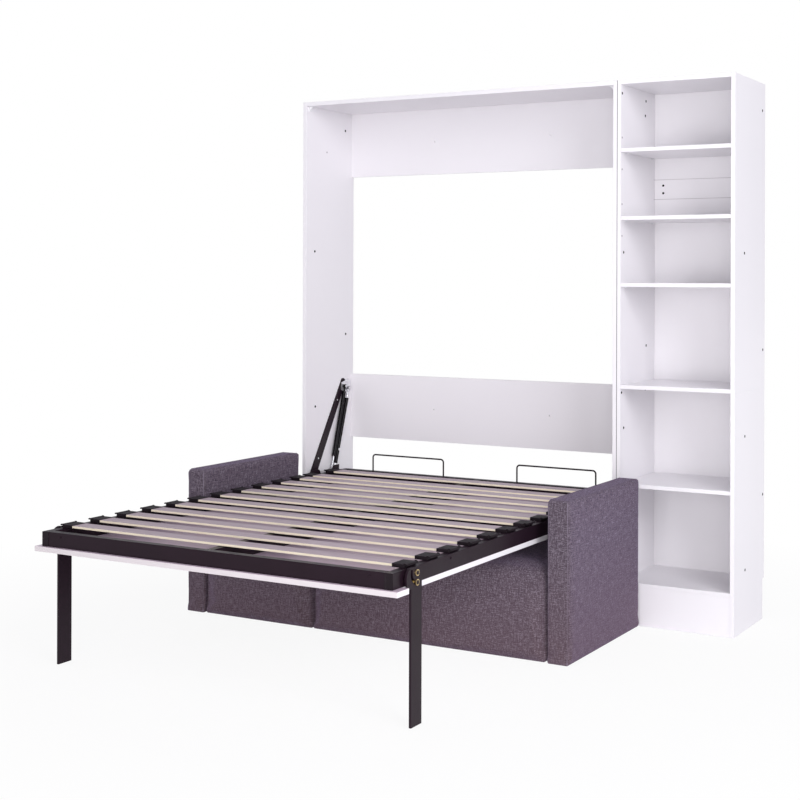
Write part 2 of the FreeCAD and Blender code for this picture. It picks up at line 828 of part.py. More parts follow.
def leg(side):
    """A flat steel leg with a lobe towards the foot, cut by a curved slot for the stop bolt."""
    bar = new_body(f"leg_{side}")
    outer = side == "left"
    face = sketch(bar, f"leg_face_{side}", "YZ_Plane")
    rectangle(face, ("-leg_width / 2", "-(leg_pivot_rise)"), ("leg_width / 2", "leg_above"))
    flat = pad(bar, face, "leg_thickness", backwards=outer)
    doc.recompute()
    corners = []
    for name, edge in straight_edges(flat.Shape, FreeCAD.Vector(1, 0, 0)):
        if edge.CenterOfMass.z > 0:
            corners.append(name)
    fillet(bar, flat, corners, "leg_rounding")
    lobe = sketch(bar, f"leg_lobe_{side}", "YZ_Plane")
    circle(lobe, "-lobe_ahead", "-lobe_below", "lobe_radius")
    pad(bar, lobe, "leg_thickness", backwards=outer)
    half_slot = "leg_bolt_radius + slot_play"
    channel = sketch(bar, f"leg_channel_{side}", "XZ_Plane")
    past = outwards(side, "leg_thickness + overrun")
    before = outwards(side, "-overrun")
    rectangle(channel, (before, f"-slot_radius - ({half_slot})"), (past, f"-slot_radius + {half_slot}"))
    slot = bar.newObject("PartDesign::Groove", f"leg_slot_{side}")
    slot.Profile = channel
    slot.ReferenceAxis = (channel, ["H_Axis"])
    slot.Angle = SLOT_SWEEP
    slot.Reversed = True
    ends = sketch(bar, f"leg_slot_ends_{side}", "YZ_Plane")
    circle(ends, "0", "-slot_radius", half_slot)
    circle(ends, f"-slot_radius * sin({SLOT_SWEEP})", f"-slot_radius * cos({SLOT_SWEEP})", half_slot)
    bore(bar, ends)
    hole = sketch(bar, f"leg_hole_{side}", "YZ_Plane")
    circle(hole, "0", "0", "leg_bolt_radius + turning_play")
    bore(bar, hole)
    place(bar, outwards(side, "leg_inner_x"), "leg_pivot_y", "leg_pivot_rise")
    return bar


def leg_bolt(side, rise):
    """A bolt through the rail and the leg: collar between them, ring head with a socket outside."""
    bolt = doc.addObject("PartDesign::Body", f"leg_bolt_{side}")
    half = sketch(bolt, "half", "XZ_Plane")
    collar_end = "leg_gap - side_play"
    head_start = "leg_gap + leg_thickness + side_play"
    head_end = f"{head_start} + leg_bolt_head_height"
    profile = [
        ("-2 * rail_wall", "0"),
        ("-2 * rail_wall", "leg_bolt_radius"),
        ("0", "leg_bolt_radius"),
        ("0", "leg_collar_radius"),
        (collar_end, "leg_collar_radius"),
        (collar_end, "leg_bolt_radius"),
        (head_start, "leg_bolt_radius"),
        (head_start, "leg_bolt_head"),
        (head_end, "leg_bolt_head"),
        (head_end, "socket_radius"),
        (f"{head_end} - socket_depth", "socket_radius"),
        (f"{head_end} - socket_depth", "0"),
    ]
    outline(half, [(outwards(side, x), radius) for x, radius in profile])
    turn(bolt, half, "H_Axis")
    place(bolt, outwards(side, "rail_x"), "leg_pivot_y", rise)
    return bolt


def make_legs():
    for side in SIDES:
        leg(side)
        bolts = [leg_bolt(side, rise) for rise in ("leg_pivot_rise", "leg_pivot_rise - slot_radius")]
        group(f"leg_bolts_{side}", bolts)


# Bed pivot, braces and gas springs

def brace(side):
    """A diagonal bar on the cabinet side: it carries the pivot and holds the spring anchor."""
    bar = new_body(f"brace_{side}")
    face = sketch(bar, f"brace_face_{side}", "YZ_Plane")
    outline(face, [
        ("-brace_width / 2", "-brace_width / 2"),
        ("brace_width / 2", "-brace_width / 2"),
        ("brace_top_width / 2", "brace_length"),
        ("-brace_top_width / 2", "brace_length"),
    ])
    flat = pad(bar, face, "brace_thickness", backwards=side == "right")
    doc.recompute()
    across = straight_edges(flat.Shape, FreeCAD.Vector(1, 0, 0))
    low = [name for name, edge in across if edge.CenterOfMass.z < 0]
    rounded = fillet(bar, flat, low, "brace_width / 2 - brace_thickness")
    doc.recompute()
    across = straight_edges(rounded.Shape, FreeCAD.Vector(1, 0, 0))
    reach = cell("brace_width")
    high = [name for name, edge in across if edge.CenterOfMass.z > reach]
    fillet(bar, rounded, high, "brace_top_width / 2 - brace_thickness")
    holes = sketch(bar, f"brace_holes_{side}", "YZ_Plane")
    circle(holes, "0", "0", "pivot_radius + pin_play")
    for along in ("brace_screw_inset", "brace_length - brace_screw_inset"):
        circle(holes, "0", along, "brace_screw_radius + pin_play")
    bore(bar, holes)
    lean(bar, "-atan(brace_run / brace_rise)")
    place(bar, outwards(side, "inner_x"), "-pivot_back", "pivot_rise")
    return bar


def brace_screw(side, along):
    """A flat head, flush with the face of the brace."""
    screw = doc.addObject("Part::Cylinder", "brace_screw")
    bind(screw, "Radius", "brace_screw_radius")
    bind(screw, "Height", "brace_thickness")
    screw.Placement = FreeCAD.Placement(FreeCAD.Vector(), FreeCAD.Rotation(FreeCAD.Vector(0, 1, 0), 90))
    low = "-(inner_x)" if side == "left" else "inner_x - brace_thickness"
    y = f"-pivot_back + ({along}) * brace_run / brace_length"
    z = f"pivot_rise + ({along}) * brace_rise / brace_length"
    place(screw, low, y, z)
    return screw


def pivot_bolt(side):
    """The bed's pivot: fixed in the brace, with a collar, then through plate and rail to its nut."""
    bolt = new_body(f"pivot_bolt_{side}")
    half = sketch(bolt, f"pivot_half_{side}", "XZ_Plane")
    collar_start = "brace_thickness"
    collar_end = "side_gap - plate_thickness - side_play"
    nut_start = "side_gap + rail_wall + side_play"
    nut_end = f"{nut_start} + pivot_nut_height"
    profile = [
        ("0", "0"),
        ("0", "pivot_radius"),
        (collar_start, "pivot_radius"),
        (collar_start, "pivot_collar"),
        (collar_end, "pivot_collar"),
        (collar_end, "pivot_radius"),
        (nut_start, "pivot_radius"),
        (nut_start, "pivot_nut"),
        (nut_end, "pivot_nut"),
        (nut_end, "0"),
    ]
    inward = "right" if side == "left" else "left"
    outline(half, [(outwards(inward, x), radius) for x, radius in profile])
    turn(bolt, half, "H_Axis")
    place(bolt, outwards(side, "inner_x"), "-pivot_back", "pivot_rise")
    return bolt


def bed_bracket(side):
    """A plate on the rail: it turns on the pivot bolt and reaches back behind the springs' studs."""
    plate = new_body(f"bed_bracket_{side}")
    hinge = sketch(plate, f"bracket_hinge_{side}", "YZ_Plane")
    rectangle(hinge, ("-bracket_width / 2", "-bracket_below"), ("bracket_width / 2", "bracket_above"))
    flat = pad(plate, hinge, "plate_thickness", backwards=side == "left")
    doc.recompute()
    corners = []
    for name, edge in straight_edges(flat.Shape, FreeCAD.Vector(1, 0, 0)):
        if edge.CenterOfMass.z > 0:
            corners.append(name)
    fillet(plate, flat, corners, "bracket_rounding")
    arm = sketch(plate, f"bracket_arm_{side}", "YZ_Plane")
    rear = "rear_stud_back + stud_margin"
    outline(arm, [
        ("0", "-bracket_below"),
        (rear, "-bracket_below"),
        (rear, "rear_stud_above + stud_margin"),
        ("rear_stud_back - stud_margin", "rear_stud_above + stud_margin"),
        ("front_stud_back - stud_margin", "front_stud_above + stud_margin"),
        ("0", "front_stud_above + stud_margin"),
    ])
    pad(plate, arm, "plate_thickness", backwards=side == "left")
    holes = sketch(plate, f"bracket_holes_{side}", "YZ_Plane")
    circle(holes, "0", "0", "pivot_radius + turning_play")
    bore(plate, holes)
    place(plate, outwards(side, "rail_x"), "-pivot_back", "pivot_rise")
    return plate


def anchor_plate(side):
    """A plate over the top of the brace with a stud for each spring."""
    plate = new_body(f"anchor_plate_{side}")
    inward = side == "left"
    face = sketch(plate, f"anchor_face_{side}", "YZ_Plane")
    rear_y = "front_anchor_depth - rear_anchor_depth"
    rear_z = "rear_anchor_rise - front_anchor_rise"
    bolt_y = f"{rear_y} + anchor_bolt_behind"
    outline(face, [
        ("-anchor_plate_margin", "-anchor_plate_margin"),
        (rear_y, f"{rear_z} - anchor_plate_margin"),
        (f"{bolt_y} + anchor_plate_margin / 2", f"{rear_z} - anchor_plate_margin"),
        (f"{bolt_y} + anchor_plate_margin / 2", "anchor_bolt_above"),
        (f"{rear_y} + anchor_plate_margin / 2", "anchor_bolt_above + anchor_plate_margin / 2"),
        ("-anchor_plate_margin", "anchor_plate_margin"),
    ])
    pad(plate, face, "plate_thickness", backwards=not inward)
    studs = sketch(plate, f"anchor_studs_{side}", "YZ_Plane")
    caps = sketch(plate, f"anchor_caps_{side}", "YZ_Plane")
    eye_end = "spring_offset - brace_thickness + eye_thickness / 2 + side_play"
    for along, up in (("0", "0"), (rear_y, rear_z)):
        circle(studs, along, up, "stud_radius")
        circle(caps, along, up, "stud_cap")
    pad(plate, studs, eye_end, backwards=not inward)
    bind(caps, "AttachmentOffset.Base.z", eye_end if inward else f"-({eye_end})")
    pad(plate, caps, "stud_cap_height", backwards=not inward)
    holes = sketch(plate, f"anchor_holes_{side}", "YZ_Plane")
    circle(holes, rear_y, "anchor_bolt_above", "anchor_bolt_radius + pin_play")
    circle(holes, bolt_y, rear_z, "anchor_bolt_radius + pin_play")
    bore(plate, holes)
    start = "inner_x - brace_thickness"
    place(plate, outwards(side, start), "-front_anchor_depth", "front_anchor_rise")
    return plate


def anchor_bolt(side, y, z):
    """A bolt into the cabinet side: a spacer behind the plate and a round head on it."""
    bolt = doc.addObject("PartDesign::Body", f"anchor_bolt_{side}")
    half = sketch(bolt, "half", "XZ_Plane")
    plate_end = "brace_thickness + plate_thickness"
    profile = [
        ("0", "0"),
        ("0", "anchor_bolt_head"),
        ("brace_thickness", "anchor_bolt_head"),
        ("brace_thickness", "anchor_bolt_radius"),
        (plate_end, "anchor_bolt_radius"),
        (plate_end, "anchor_bolt_head"),
        (f"{plate_end} + anchor_bolt_head_height", "anchor_bolt_head"),
        (f"{plate_end} + anchor_bolt_head_height", "0"),
    ]
    inward = "right" if side == "left" else "left"
    outline(half, [(outwards(inward, x), radius) for x, radius in profile])
    turn(bolt, half, "H_Axis")
    place(bolt, outwards(side, "inner_x"), y, z)
    return bolt


def upper_eye(body, name):
    """The eye at the anchor: a disc across the spring's axis with a hole for the stud."""
    disc = sketch(body, name + "_eye", "YZ_Plane")
    circle(disc, "0", "0", "eye_radius")
    pad(body, disc, "eye_thickness", centred=True)
    hole = sketch(body, name + "_eye_hole", "YZ_Plane")
    circle(hole, "0", "0", "stud_radius + turning_play")
    bore(body, hole)


def lower_eye(body, name, side, length):
    """The eye at the bed end, with its stud towards the bed's bracket."""
    disc = sketch(body, name + "_eye", "YZ_Plane")
    circle(disc, "0", f"-({length})", "eye_radius")
    pad(body, disc, "eye_thickness", centred=True)
    stud = sketch(body, name + "_stud", "YZ_Plane")
    circle(stud, "0", f"-({length})", "stud_radius")
    reach = "side_gap - spring_offset - plate_thickness - side_play"
    pad(body, stud, reach, backwards=side == "right")


def spring_profile(body, name, points):
    """Turn a half section, given as radius and distance below the anchor."""
    half = sketch(body, name + "_half", "XZ_Plane")
    outline(half, [(radius, f"-({below})") for radius, below in points])
    return turn(body, half, "V_Axis")


def cylinder_points(near, far, mouth_near, depth, collar):
    """Half section of a spring cylinder with its bore, open at the near or the far end."""
    mouth, closed, sign = (near, far, 1) if mouth_near else (far, near, -1)
    bottom = f"{mouth} + {sign} * ({depth})"
    points = [("0", bottom), ("spring_bore", bottom), ("spring_bore", mouth)]
    if collar:
        ring_end = f"{mouth} + {sign} * collar_length"
        points += [("collar_radius", mouth), ("collar_radius", ring_end), ("spring_radius", ring_end)]
    else:
        points += [("spring_radius", mouth)]
    neck = f"{closed} + {sign} * (neck_length - eye_radius + stud_radius / 2)"
    points += [("spring_radius", closed), ("spring_neck", closed), ("spring_neck", neck), ("0", neck)]
    return points


def gas_spring(which, side):
    """One gas spring, from its anchor on the cabinet down to the bed.

    The front one has its cylinder above, the rear one has it below.
    """
    length = f"{which}_length"
    shown = f"{which}_rod_shown"
    depth = f"{which}_stroke + rod_engaged"
    upper = new_body(f"spring_{which}_{side}_upper")
    lower = new_body(f"spring_{which}_{side}_lower")
    rod_name = f"{which}_{side}_rod"
    cylinder_name = f"{which}_{side}_cylinder"
    if which == "front":
        mouth = f"{length} - {shown}"
        points = cylinder_points("neck_length", mouth, False, f"{depth} + overrun", False)
        spring_profile(upper, cylinder_name, points)
        end = f"{length} - eye_radius + stud_radius / 2"
        rod = [("0", f"{mouth} - ({depth})"), ("rod_radius", f"{mouth} - ({depth})"), ("rod_radius", end), ("0", end)]
        spring_profile(lower, rod_name, rod)
    else:
        start = "eye_radius - stud_radius / 2"
        end = f"{shown} + {depth}"
        rod = [("0", start), ("rod_radius", start), ("rod_radius", end), ("0", end)]
        spring_profile(upper, rod_name, rod)
        closed = f"{length} - neck_length"
        points = cylinder_points(shown, closed, True, f"{depth} + overrun", True)
        spring_profile(lower, cylinder_name, points)
    upper_eye(upper, f"{which}_{side}_upper")
    lower_eye(lower, f"{which}_{side}_lower", side, length)
    for piece in (upper, lower):
        lean(piece, f"-atan({which}_run / {which}_drop)")
        place(piece, outwards(side, "inner_x - spring_offset"),
              f"-{which}_anchor_depth", f"{which}_anchor_rise")


def make_mechanism():
    screws = []
    bolts = []
    bolt_places = (
        ("-rear_anchor_depth", "front_anchor_rise + anchor_bolt_above"),
        ("-rear_anchor_depth + anchor_bolt_behind", "rear_anchor_rise"),
    )
    for side in SIDES:
        brace(side)
        pivot_bolt(side)
        bed_bracket(side)
        anchor_plate(side)
        for along in ("brace_screw_inset", "brace_length - brace_screw_inset"):
            screws.append(brace_screw(side, along))
        bolts.extend(anchor_bolt(side, y, z) for y, z in bolt_places)
        for which in ("front", "rear"):
            gas_spring(which, side)
    group("brace_screws", screws)
    group("anchor_bolts", bolts)


def write_parts():
    """Check every piece and write one file for each node."""
    doc.recompute()
    for item in doc.Objects:
        if "Invalid" in item.State or "Error" in item.State:
            raise RuntimeError(f"{item.Label} failed: {item.State}")
    os.makedirs("parts", exist_ok=True)
    for node in nodes:
        if node.Shape.isNull() or not node.Shape.isValid():
            raise RuntimeError(f"{node.Label} has no valid shape")
        node.Shape.exportStep(f"parts/{node.Label}.step")
        print(f"{node.Label}: {len(node.Shape.Solids)} solid, {node.Shape.Volume / 1000:.1f} cm3")


make_cabinet()
make_bookcase()
make_sofa()
make_bed_frame()
make_legs()
make_mechanism()
write_parts()
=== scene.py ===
import json
import logging
import math
from collections.abc import Callable, Iterable, Iterator, Sequence
from contextlib import contextmanager
from dataclasses import dataclass, field
from enum import Enum

import bmesh
import bpy
from mathutils import Matrix, Vector
from mathutils.bvhtree import BVHTree

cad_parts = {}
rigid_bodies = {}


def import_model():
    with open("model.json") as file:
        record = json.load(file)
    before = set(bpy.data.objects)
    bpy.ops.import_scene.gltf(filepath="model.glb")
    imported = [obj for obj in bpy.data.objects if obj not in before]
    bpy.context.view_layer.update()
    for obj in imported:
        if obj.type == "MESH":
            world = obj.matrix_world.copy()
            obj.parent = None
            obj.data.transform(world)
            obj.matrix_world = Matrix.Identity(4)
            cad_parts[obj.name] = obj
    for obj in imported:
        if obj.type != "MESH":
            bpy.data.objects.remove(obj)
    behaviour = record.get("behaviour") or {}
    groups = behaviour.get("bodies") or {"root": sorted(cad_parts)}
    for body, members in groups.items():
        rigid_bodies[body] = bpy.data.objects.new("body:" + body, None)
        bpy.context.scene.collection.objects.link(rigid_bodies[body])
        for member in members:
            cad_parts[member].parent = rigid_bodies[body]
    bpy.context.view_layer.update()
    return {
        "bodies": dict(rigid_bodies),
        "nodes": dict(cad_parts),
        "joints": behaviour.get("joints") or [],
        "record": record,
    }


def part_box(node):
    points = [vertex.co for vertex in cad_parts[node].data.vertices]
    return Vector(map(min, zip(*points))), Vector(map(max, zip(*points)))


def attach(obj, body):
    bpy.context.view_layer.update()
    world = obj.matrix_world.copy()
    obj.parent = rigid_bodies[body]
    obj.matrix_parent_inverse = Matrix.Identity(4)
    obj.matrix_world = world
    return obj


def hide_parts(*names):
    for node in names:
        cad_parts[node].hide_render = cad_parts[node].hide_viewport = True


# A white wall bed with its slatted frame lowered over a mauve-grey sofa, and an open bookcase.
# Lengths are metres, in the row's frame: the front faces -Y and the floor is at Z = 0.

log = logging.getLogger("wall_bed")

Point = tuple[float, float, float]
Colour = tuple[float, float, float]
Spot = tuple[float, float]
Piece = bpy.types.Object
Material = bpy.types.Material
Socket = bpy.types.NodeSocket
FaceTest = Callable[[bpy.types.MeshPolygon], bool]
Input = "Value | Socket | float | Sequence[float]"

# The middle of the cabinet, measured from the middle of the whole footprint.
CABINET_X = -0.194
WALL_Y = 1.030

UPWARDS = Vector((0.0, 0.0, 1.0))
FORWARDS = Vector((0.0, -1.0, 0.0))


def from_cabinet(x: float, y: float, z: float) -> Vector:
    """Turn a place measured from the cabinet's middle, the wall and the floor into the row's frame."""
    return Vector((x + CABINET_X, y + WALL_Y, z))


def across(sign: int) -> Vector:
    """Give the direction to the right for 1, and to the left for -1."""
    return Vector((sign, 0.0, 0.0))


def srgb(red: int, green: int, blue: int) -> Colour:
    """Turn a colour as it is seen on a screen into the linear colour that a shader takes.

    Args:
        red: 0 to 255.
        green: 0 to 255.
        blue: 0 to 255.

    Returns:
        The linear colour.
    """
    shares = (level / 255 for level in (red, green, blue))
    return tuple(share / 12.92 if share <= 0.04045 else ((share + 0.055) / 1.055) ** 2.4 for share in shares)


class Side(Enum):
    """The two sides of the bed, as they are seen from its foot. The value is the sign of X."""

    LEFT = -1
    RIGHT = 1

    @property
    def word(self) -> str:
        """The side's word in the names of nodes and pieces."""
        return self.name.lower()


class Body(Enum):
    """The bodies that most new pieces ride on."""

    CABINET = "cabinet"
    BED = "bed"


# Shader nodes

class Value:
    """A number on a node's socket, which plain arithmetic turns into Math nodes."""

    def __init__(self, graph: "Graph", socket: Socket) -> None:
        """Wrap a socket of a graph."""
        self.graph = graph
        self.socket = socket

    def _math(self, operation: str, first: Input, second: Input) -> "Value":
        """Add one Math node."""
        return self.graph.node("ShaderNodeMath", {"operation": operation}, {0: first, 1: second})

    def apply(self, operation: str, other: Input = 0.0) -> "Value":
        """Put this number through one of the Math node's operations."""
        return self._math(operation, self, other)

    def __add__(self, other: Input) -> "Value":
        """Add."""
        return self._math("ADD", self, other)

    def __sub__(self, other: Input) -> "Value":
        """Subtract."""
        return self._math("SUBTRACT", self, other)

    def __rsub__(self, other: Input) -> "Value":
        """Subtract, the other way round."""
        return self._math("SUBTRACT", other, self)

    def __mul__(self, other: Input) -> "Value":
        """Multiply."""
        return self._math("MULTIPLY", self, other)

    def __gt__(self, other: Input) -> "Value":
        """Give 1 where this number is the greater."""
        return self._math("GREATER_THAN", self, other)

    def __abs__(self) -> "Value":
        """Drop the sign."""
        return self.apply("ABSOLUTE")

    def choose(self, inside: Input, outside: Input) -> "Value":
        """Give one number where this mask is 1, and another where it is 0."""
        return self * inside + (1.0 - self) * outside

    __radd__ = __add__
    __rmul__ = __mul__


class Graph:
    """One material's nodes."""

    def __init__(self, name: str) -> None:
        """Start a material with only its shader and output.

        Args:
            name: the material's name.
        """
        self.material = bpy.data.materials.new(name)
        self.material.use_nodes = True
        self.tree = self.material.node_tree
        self.tree.nodes.clear()
        self.shader = self.tree.nodes.new("ShaderNodeBsdfPrincipled")
        self.output = self.tree.nodes.new("ShaderNodeOutputMaterial")
        self.tree.links.new(self.shader.outputs["BSDF"], self.output.inputs["Surface"])

    def feed(self, socket: Socket, value: Input) -> None:
        """Link a socket to a wrapped number or another socket, or set its constant.

        Args:
            socket: the socket.
            value: what it gets.
        """
        source = value.socket if isinstance(value, Value) else value
        if isinstance(source, Socket):
            self.tree.links.new(source, socket)
        elif socket.type == "RGBA":
            socket.default_value = (*source, 1.0)
        else:
            socket.default_value = source

    def node(self, kind: str, settings: dict | None = None, inputs: dict | None = None,
             output: int | str = 0) -> Value:
        """Add a node.

        Args:
            kind: the node's type.
            settings: its properties, and a ramp's stops, which are set first.
            inputs: the values or links of its sockets, by name or number.
            output: the output that is wanted.

        Returns:
            The wanted output.
        """
        made = self.tree.nodes.new(kind)
        for name, setting in (settings or {}).items():
            if name == "stops":
                self._set_stops(made.color_ramp, setting)
            else:
                setattr(made, name, setting)
        for name, value in (inputs or {}).items():
            self.feed(made.inputs[name], value)
        return Value(self, made.outputs[output])

    @staticmethod
    def _set_stops(ramp: bpy.types.ColorRamp, stops: Sequence[tuple[float, Colour]]) -> None:
        """Give a colour ramp its stops.

        Args:
            ramp: the ramp.
            stops: the place and colour of each stop.
        """
        while len(ramp.elements) < len(stops):
            ramp.elements.new(0.5)
        for element, (place, colour) in zip(ramp.elements, stops):
            element.position = place
            element.color = (*colour, 1.0)

    def place(self) -> Value:
        """The point on the piece, in its own coordinates."""
        return self.node("ShaderNodeTexCoord", output="Object")

    def normal(self) -> Value:
        """The surface's direction, in the piece's own coordinates."""
        return self.node("ShaderNodeTexCoord", output="Normal")

    def ray(self, kind: str) -> Value:
        """1 on the rays of one kind."""
        return self.node("ShaderNodeLightPath", output=f"Is {kind} Ray")

    def split(self, vector: Input) -> tuple[Value, Value, Value]:
        """A vector's three numbers."""
        outputs = self.node("ShaderNodeSeparateXYZ", inputs={0: vector}).socket.node.outputs
        return tuple(Value(self, output) for output in outputs)

    def noise(self, vector: Input, waves: float | Point, detail: float = 2.0,
              roughness: float = 0.5) -> Value:
        """A noise pattern.

        Args:
            vector: the place where it is read.
            waves: its number of waves per metre, for all axes or for each.
            detail: how many finer layers it has.
            roughness: how strong they are.

        Returns:
            The pattern, from 0 to 1.
        """
        if isinstance(waves, tuple):
            vector = self.node("ShaderNodeVectorMath", {"operation": "MULTIPLY"}, {0: vector, 1: waves})
            waves = 1.0
        sizes = {"Vector": vector, "Scale": waves, "Detail": detail, "Roughness": roughness}
        return self.node("ShaderNodeTexNoise", inputs=sizes)

    def mix(self, factor: Input, first: Input, second: Input) -> Value:
        """A colour between two others."""
        return self.node("ShaderNodeMix", {"data_type": "RGBA"}, {0: factor, 6: first, 7: second}, 2)

    def between(self, value: Input, low: float, high: float, to_low: float = 0.0,
                to_high: float = 1.0) -> Value:
        """Map a number from one range to another, and stop at its ends."""
        ranges = {"Value": value, "From Min": low, "From Max": high, "To Min": to_low, "To Max": to_high}
        return self.node("ShaderNodeMapRange", {"clamp": True}, ranges)

    def bump(self, height: Input, distance: float, strength: float = 1.0) -> Value:
        """Relief from a height in units of distance, in metres."""
        relief = {"Height": height, "Distance": distance, "Strength": strength}
        return self.node("ShaderNodeBump", inputs=relief, output="Normal")

    def finish(self, **inputs: Input) -> Material:
        """Set the shader's sockets.

        Args:
            inputs: their values by name, with underscores for spaces.

        Returns:
            The material.
        """
        for name, value in inputs.items():
            self.feed(self.shader.inputs[name.replace("_", " ")], value)
        return self.material


def mix_shaders(tree: bpy.types.NodeTree, factor: Socket, first: Socket, second: Socket,
                output: bpy.types.Node) -> None:
    """Mix two shaders and link them to an output.

    Args:
        tree: the tree that gets the mixer.
        factor: the share of the second shader.
        first: the first shader.
        second: the second shader.
        output: the tree's output node.
    """
    mixer = tree.nodes.new("ShaderNodeMixShader")
    for socket, source in zip(mixer.inputs, (factor, first, second)):
        tree.links.new(source, socket)
    tree.links.new(mixer.outputs["Shader"], output.inputs["Surface"])


# Finishes

@dataclass(frozen=True)
class Laminate:
    """White melamine board: a silky film with the faint cloudiness and orange peel of pressed board.

    A dull line of painted shade lies in the joint between the cabinet and the bookcase, and a fainter
    one along both edges of the cross strip in the bookcase's back, where shade falls.
    """

    name: str = "white_laminate"
    colour: Colour = srgb(242, 240, 243)
    cloud: Colour = srgb(237, 235, 239)
    # Painted shade: the dark colour of the line in the joint and along the strip's edges.
    dust: Colour = srgb(96, 88, 92)
    dust_reach: float = 0.0018
    faint: float = 0.4
    joint_x: float = 0.576
    strip_z: float = 1.7695
    strip_half: float = 0.0415
    back_y: float = 1.0
    side_x: float = 1.04
    roughness: float = 0.3

    def dusty(self, graph: Graph, distance: Value, depth: float) -> Value:
        """How deep the painted shade lies at a distance from a line."""
        return graph.between(distance, 0.4 * self.dust_reach, self.dust_reach, depth, 0.0)

    def material(self) -> Material:
        """Build the finish.

        Returns:
            The material.
        """
        graph = Graph(self.name)
        place = graph.place()
        x, y, z = graph.split(place)
        clouds = graph.noise(place, 1.6, 1.0, 0.4)
        peel = graph.noise(place, 220.0, 1.0)
        fine = graph.noise(place, 1300.0)
        off_strip = abs(abs(z - self.strip_z) - self.strip_half)
        on_back = (y > self.back_y) * (x > self.joint_x) * (1.0 - (x > self.side_x))
        # Painted shade: a dark line in the joint, and fainter ones along the back's cross strip.
        dust = self.dusty(graph, abs(x - self.joint_x), 1.0)
        dust = dust + self.dusty(graph, off_strip, self.faint) * on_back
        white = graph.mix(clouds, self.colour, self.cloud)
        return graph.finish(Base_Color=graph.mix(dust, white, self.dust),
                            Roughness=graph.between(clouds, 0.2, 0.8, self.roughness, self.roughness + 0.06),
                            Normal=graph.bump(peel * 0.5 + fine * 0.5, 0.00002),
                            Specular_IOR_Level=0.4)


@dataclass(frozen=True)
class PanelFoil:
    """The bed panel's board: white outside, duller at its ends, and a gloss foil inside, tinted mauve-grey as
    painted shade.
    """

    name: str = "panel_foil"
    outside: Colour = srgb(242, 240, 243)
    edge: Colour = srgb(214, 207, 210)
    # Painted shade: the inside is tinted mauve-grey for the shade under the slats, on a white board.
    inside: Colour = srgb(228, 208, 224)
    faded: Colour = srgb(214, 193, 210)
    roughness: float = 0.16
    outside_roughness: float = 0.3

    def material(self) -> Material:
        """Build the finish.

        Returns:
            The material.
        """
        graph = Graph(self.name)
        place = graph.place()
        _, along, up = graph.split(graph.normal())
        inner = up > 0.5
        at_end = abs(along) > 0.5
        streaks = graph.noise(place, (2.0, 60.0, 60.0), 4.0, 0.6)
        peel = graph.noise(place, 240.0, 1.0)
        # Painted shade: the inner face's mauve-grey colour stands in for the shade under the slats.
        foil = graph.mix(graph.between(streaks, 0.3, 0.7), self.inside, self.faded)
        board = graph.mix(at_end, self.outside, self.edge)
        gloss = graph.between(streaks, 0.2, 0.8, self.roughness, self.roughness + 0.08)
        return graph.finish(Base_Color=graph.mix(inner, board, foil),
                            Roughness=inner.choose(gloss, self.outside_roughness),
                            Normal=graph.bump(peel, 0.00002),
                            Specular_IOR_Level=0.45)


@dataclass(frozen=True)
class Coating:
    """Paint, enamel or moulded plastic: an even colour, a fine grain, and paler and duller patches."""

    name: str
    colour: Colour
    pale: Colour
    roughness: float = 0.55
    glossier: float = 0.05
    duller: float = 0.1
    duller_from: float = 0.3
    paler_from: float = 0.4
    paler_to: float = 0.8
    palest: float = 1.0
    patch_waves: float = 30.0
    patch_detail: float = 3.0
    grain_waves: float = 1400.0
    grain_detail: float = 2.0
    relief: float = 0.00015
    specular: float = 0.16

    def material(self) -> Material:
        """Build the finish.

        Returns:
            The material.
        """
        graph = Graph(self.name)
        patches = graph.noise(graph.place(), self.patch_waves, self.patch_detail, 0.6)
        grain = graph.noise(graph.place(), self.grain_waves, self.grain_detail)
        paler = graph.between(patches, self.paler_from, self.paler_to, 0.0, self.palest)
        low, high = self.roughness - self.glossier, self.roughness + self.duller
        return graph.finish(Base_Color=graph.mix(paler, self.colour, self.pale),
                            Roughness=graph.between(patches, self.duller_from, 0.7, low, high),
                            Normal=graph.bump(grain, self.relief),
                            Specular_IOR_Level=self.specular)


@dataclass(frozen=True)
class Metal:
    """Bare or plated metal, with fine brushing along one axis and dulled patches."""

    name: str
    colour: Colour
    dull: Colour
    roughness: float
    brush_waves: Point = (40.0, 400.0, 400.0)

    def material(self) -> Material:
        """Build the finish.

        Returns:
            The material.
        """
        graph = Graph(self.name)
        brushed = graph.noise(graph.place(), self.brush_waves, 3.0)
        patches = graph.noise(graph.place(), 70.0, 3.0, 0.6)
        return graph.finish(Base_Color=graph.mix(graph.between(patches, 0.4, 0.7), self.colour, self.dull),
                            Roughness=graph.between(brushed, 0.3, 0.7, self.roughness, self.roughness + 0.14),
                            Normal=graph.bump(brushed, 0.00004),
                            Metallic=1.0)


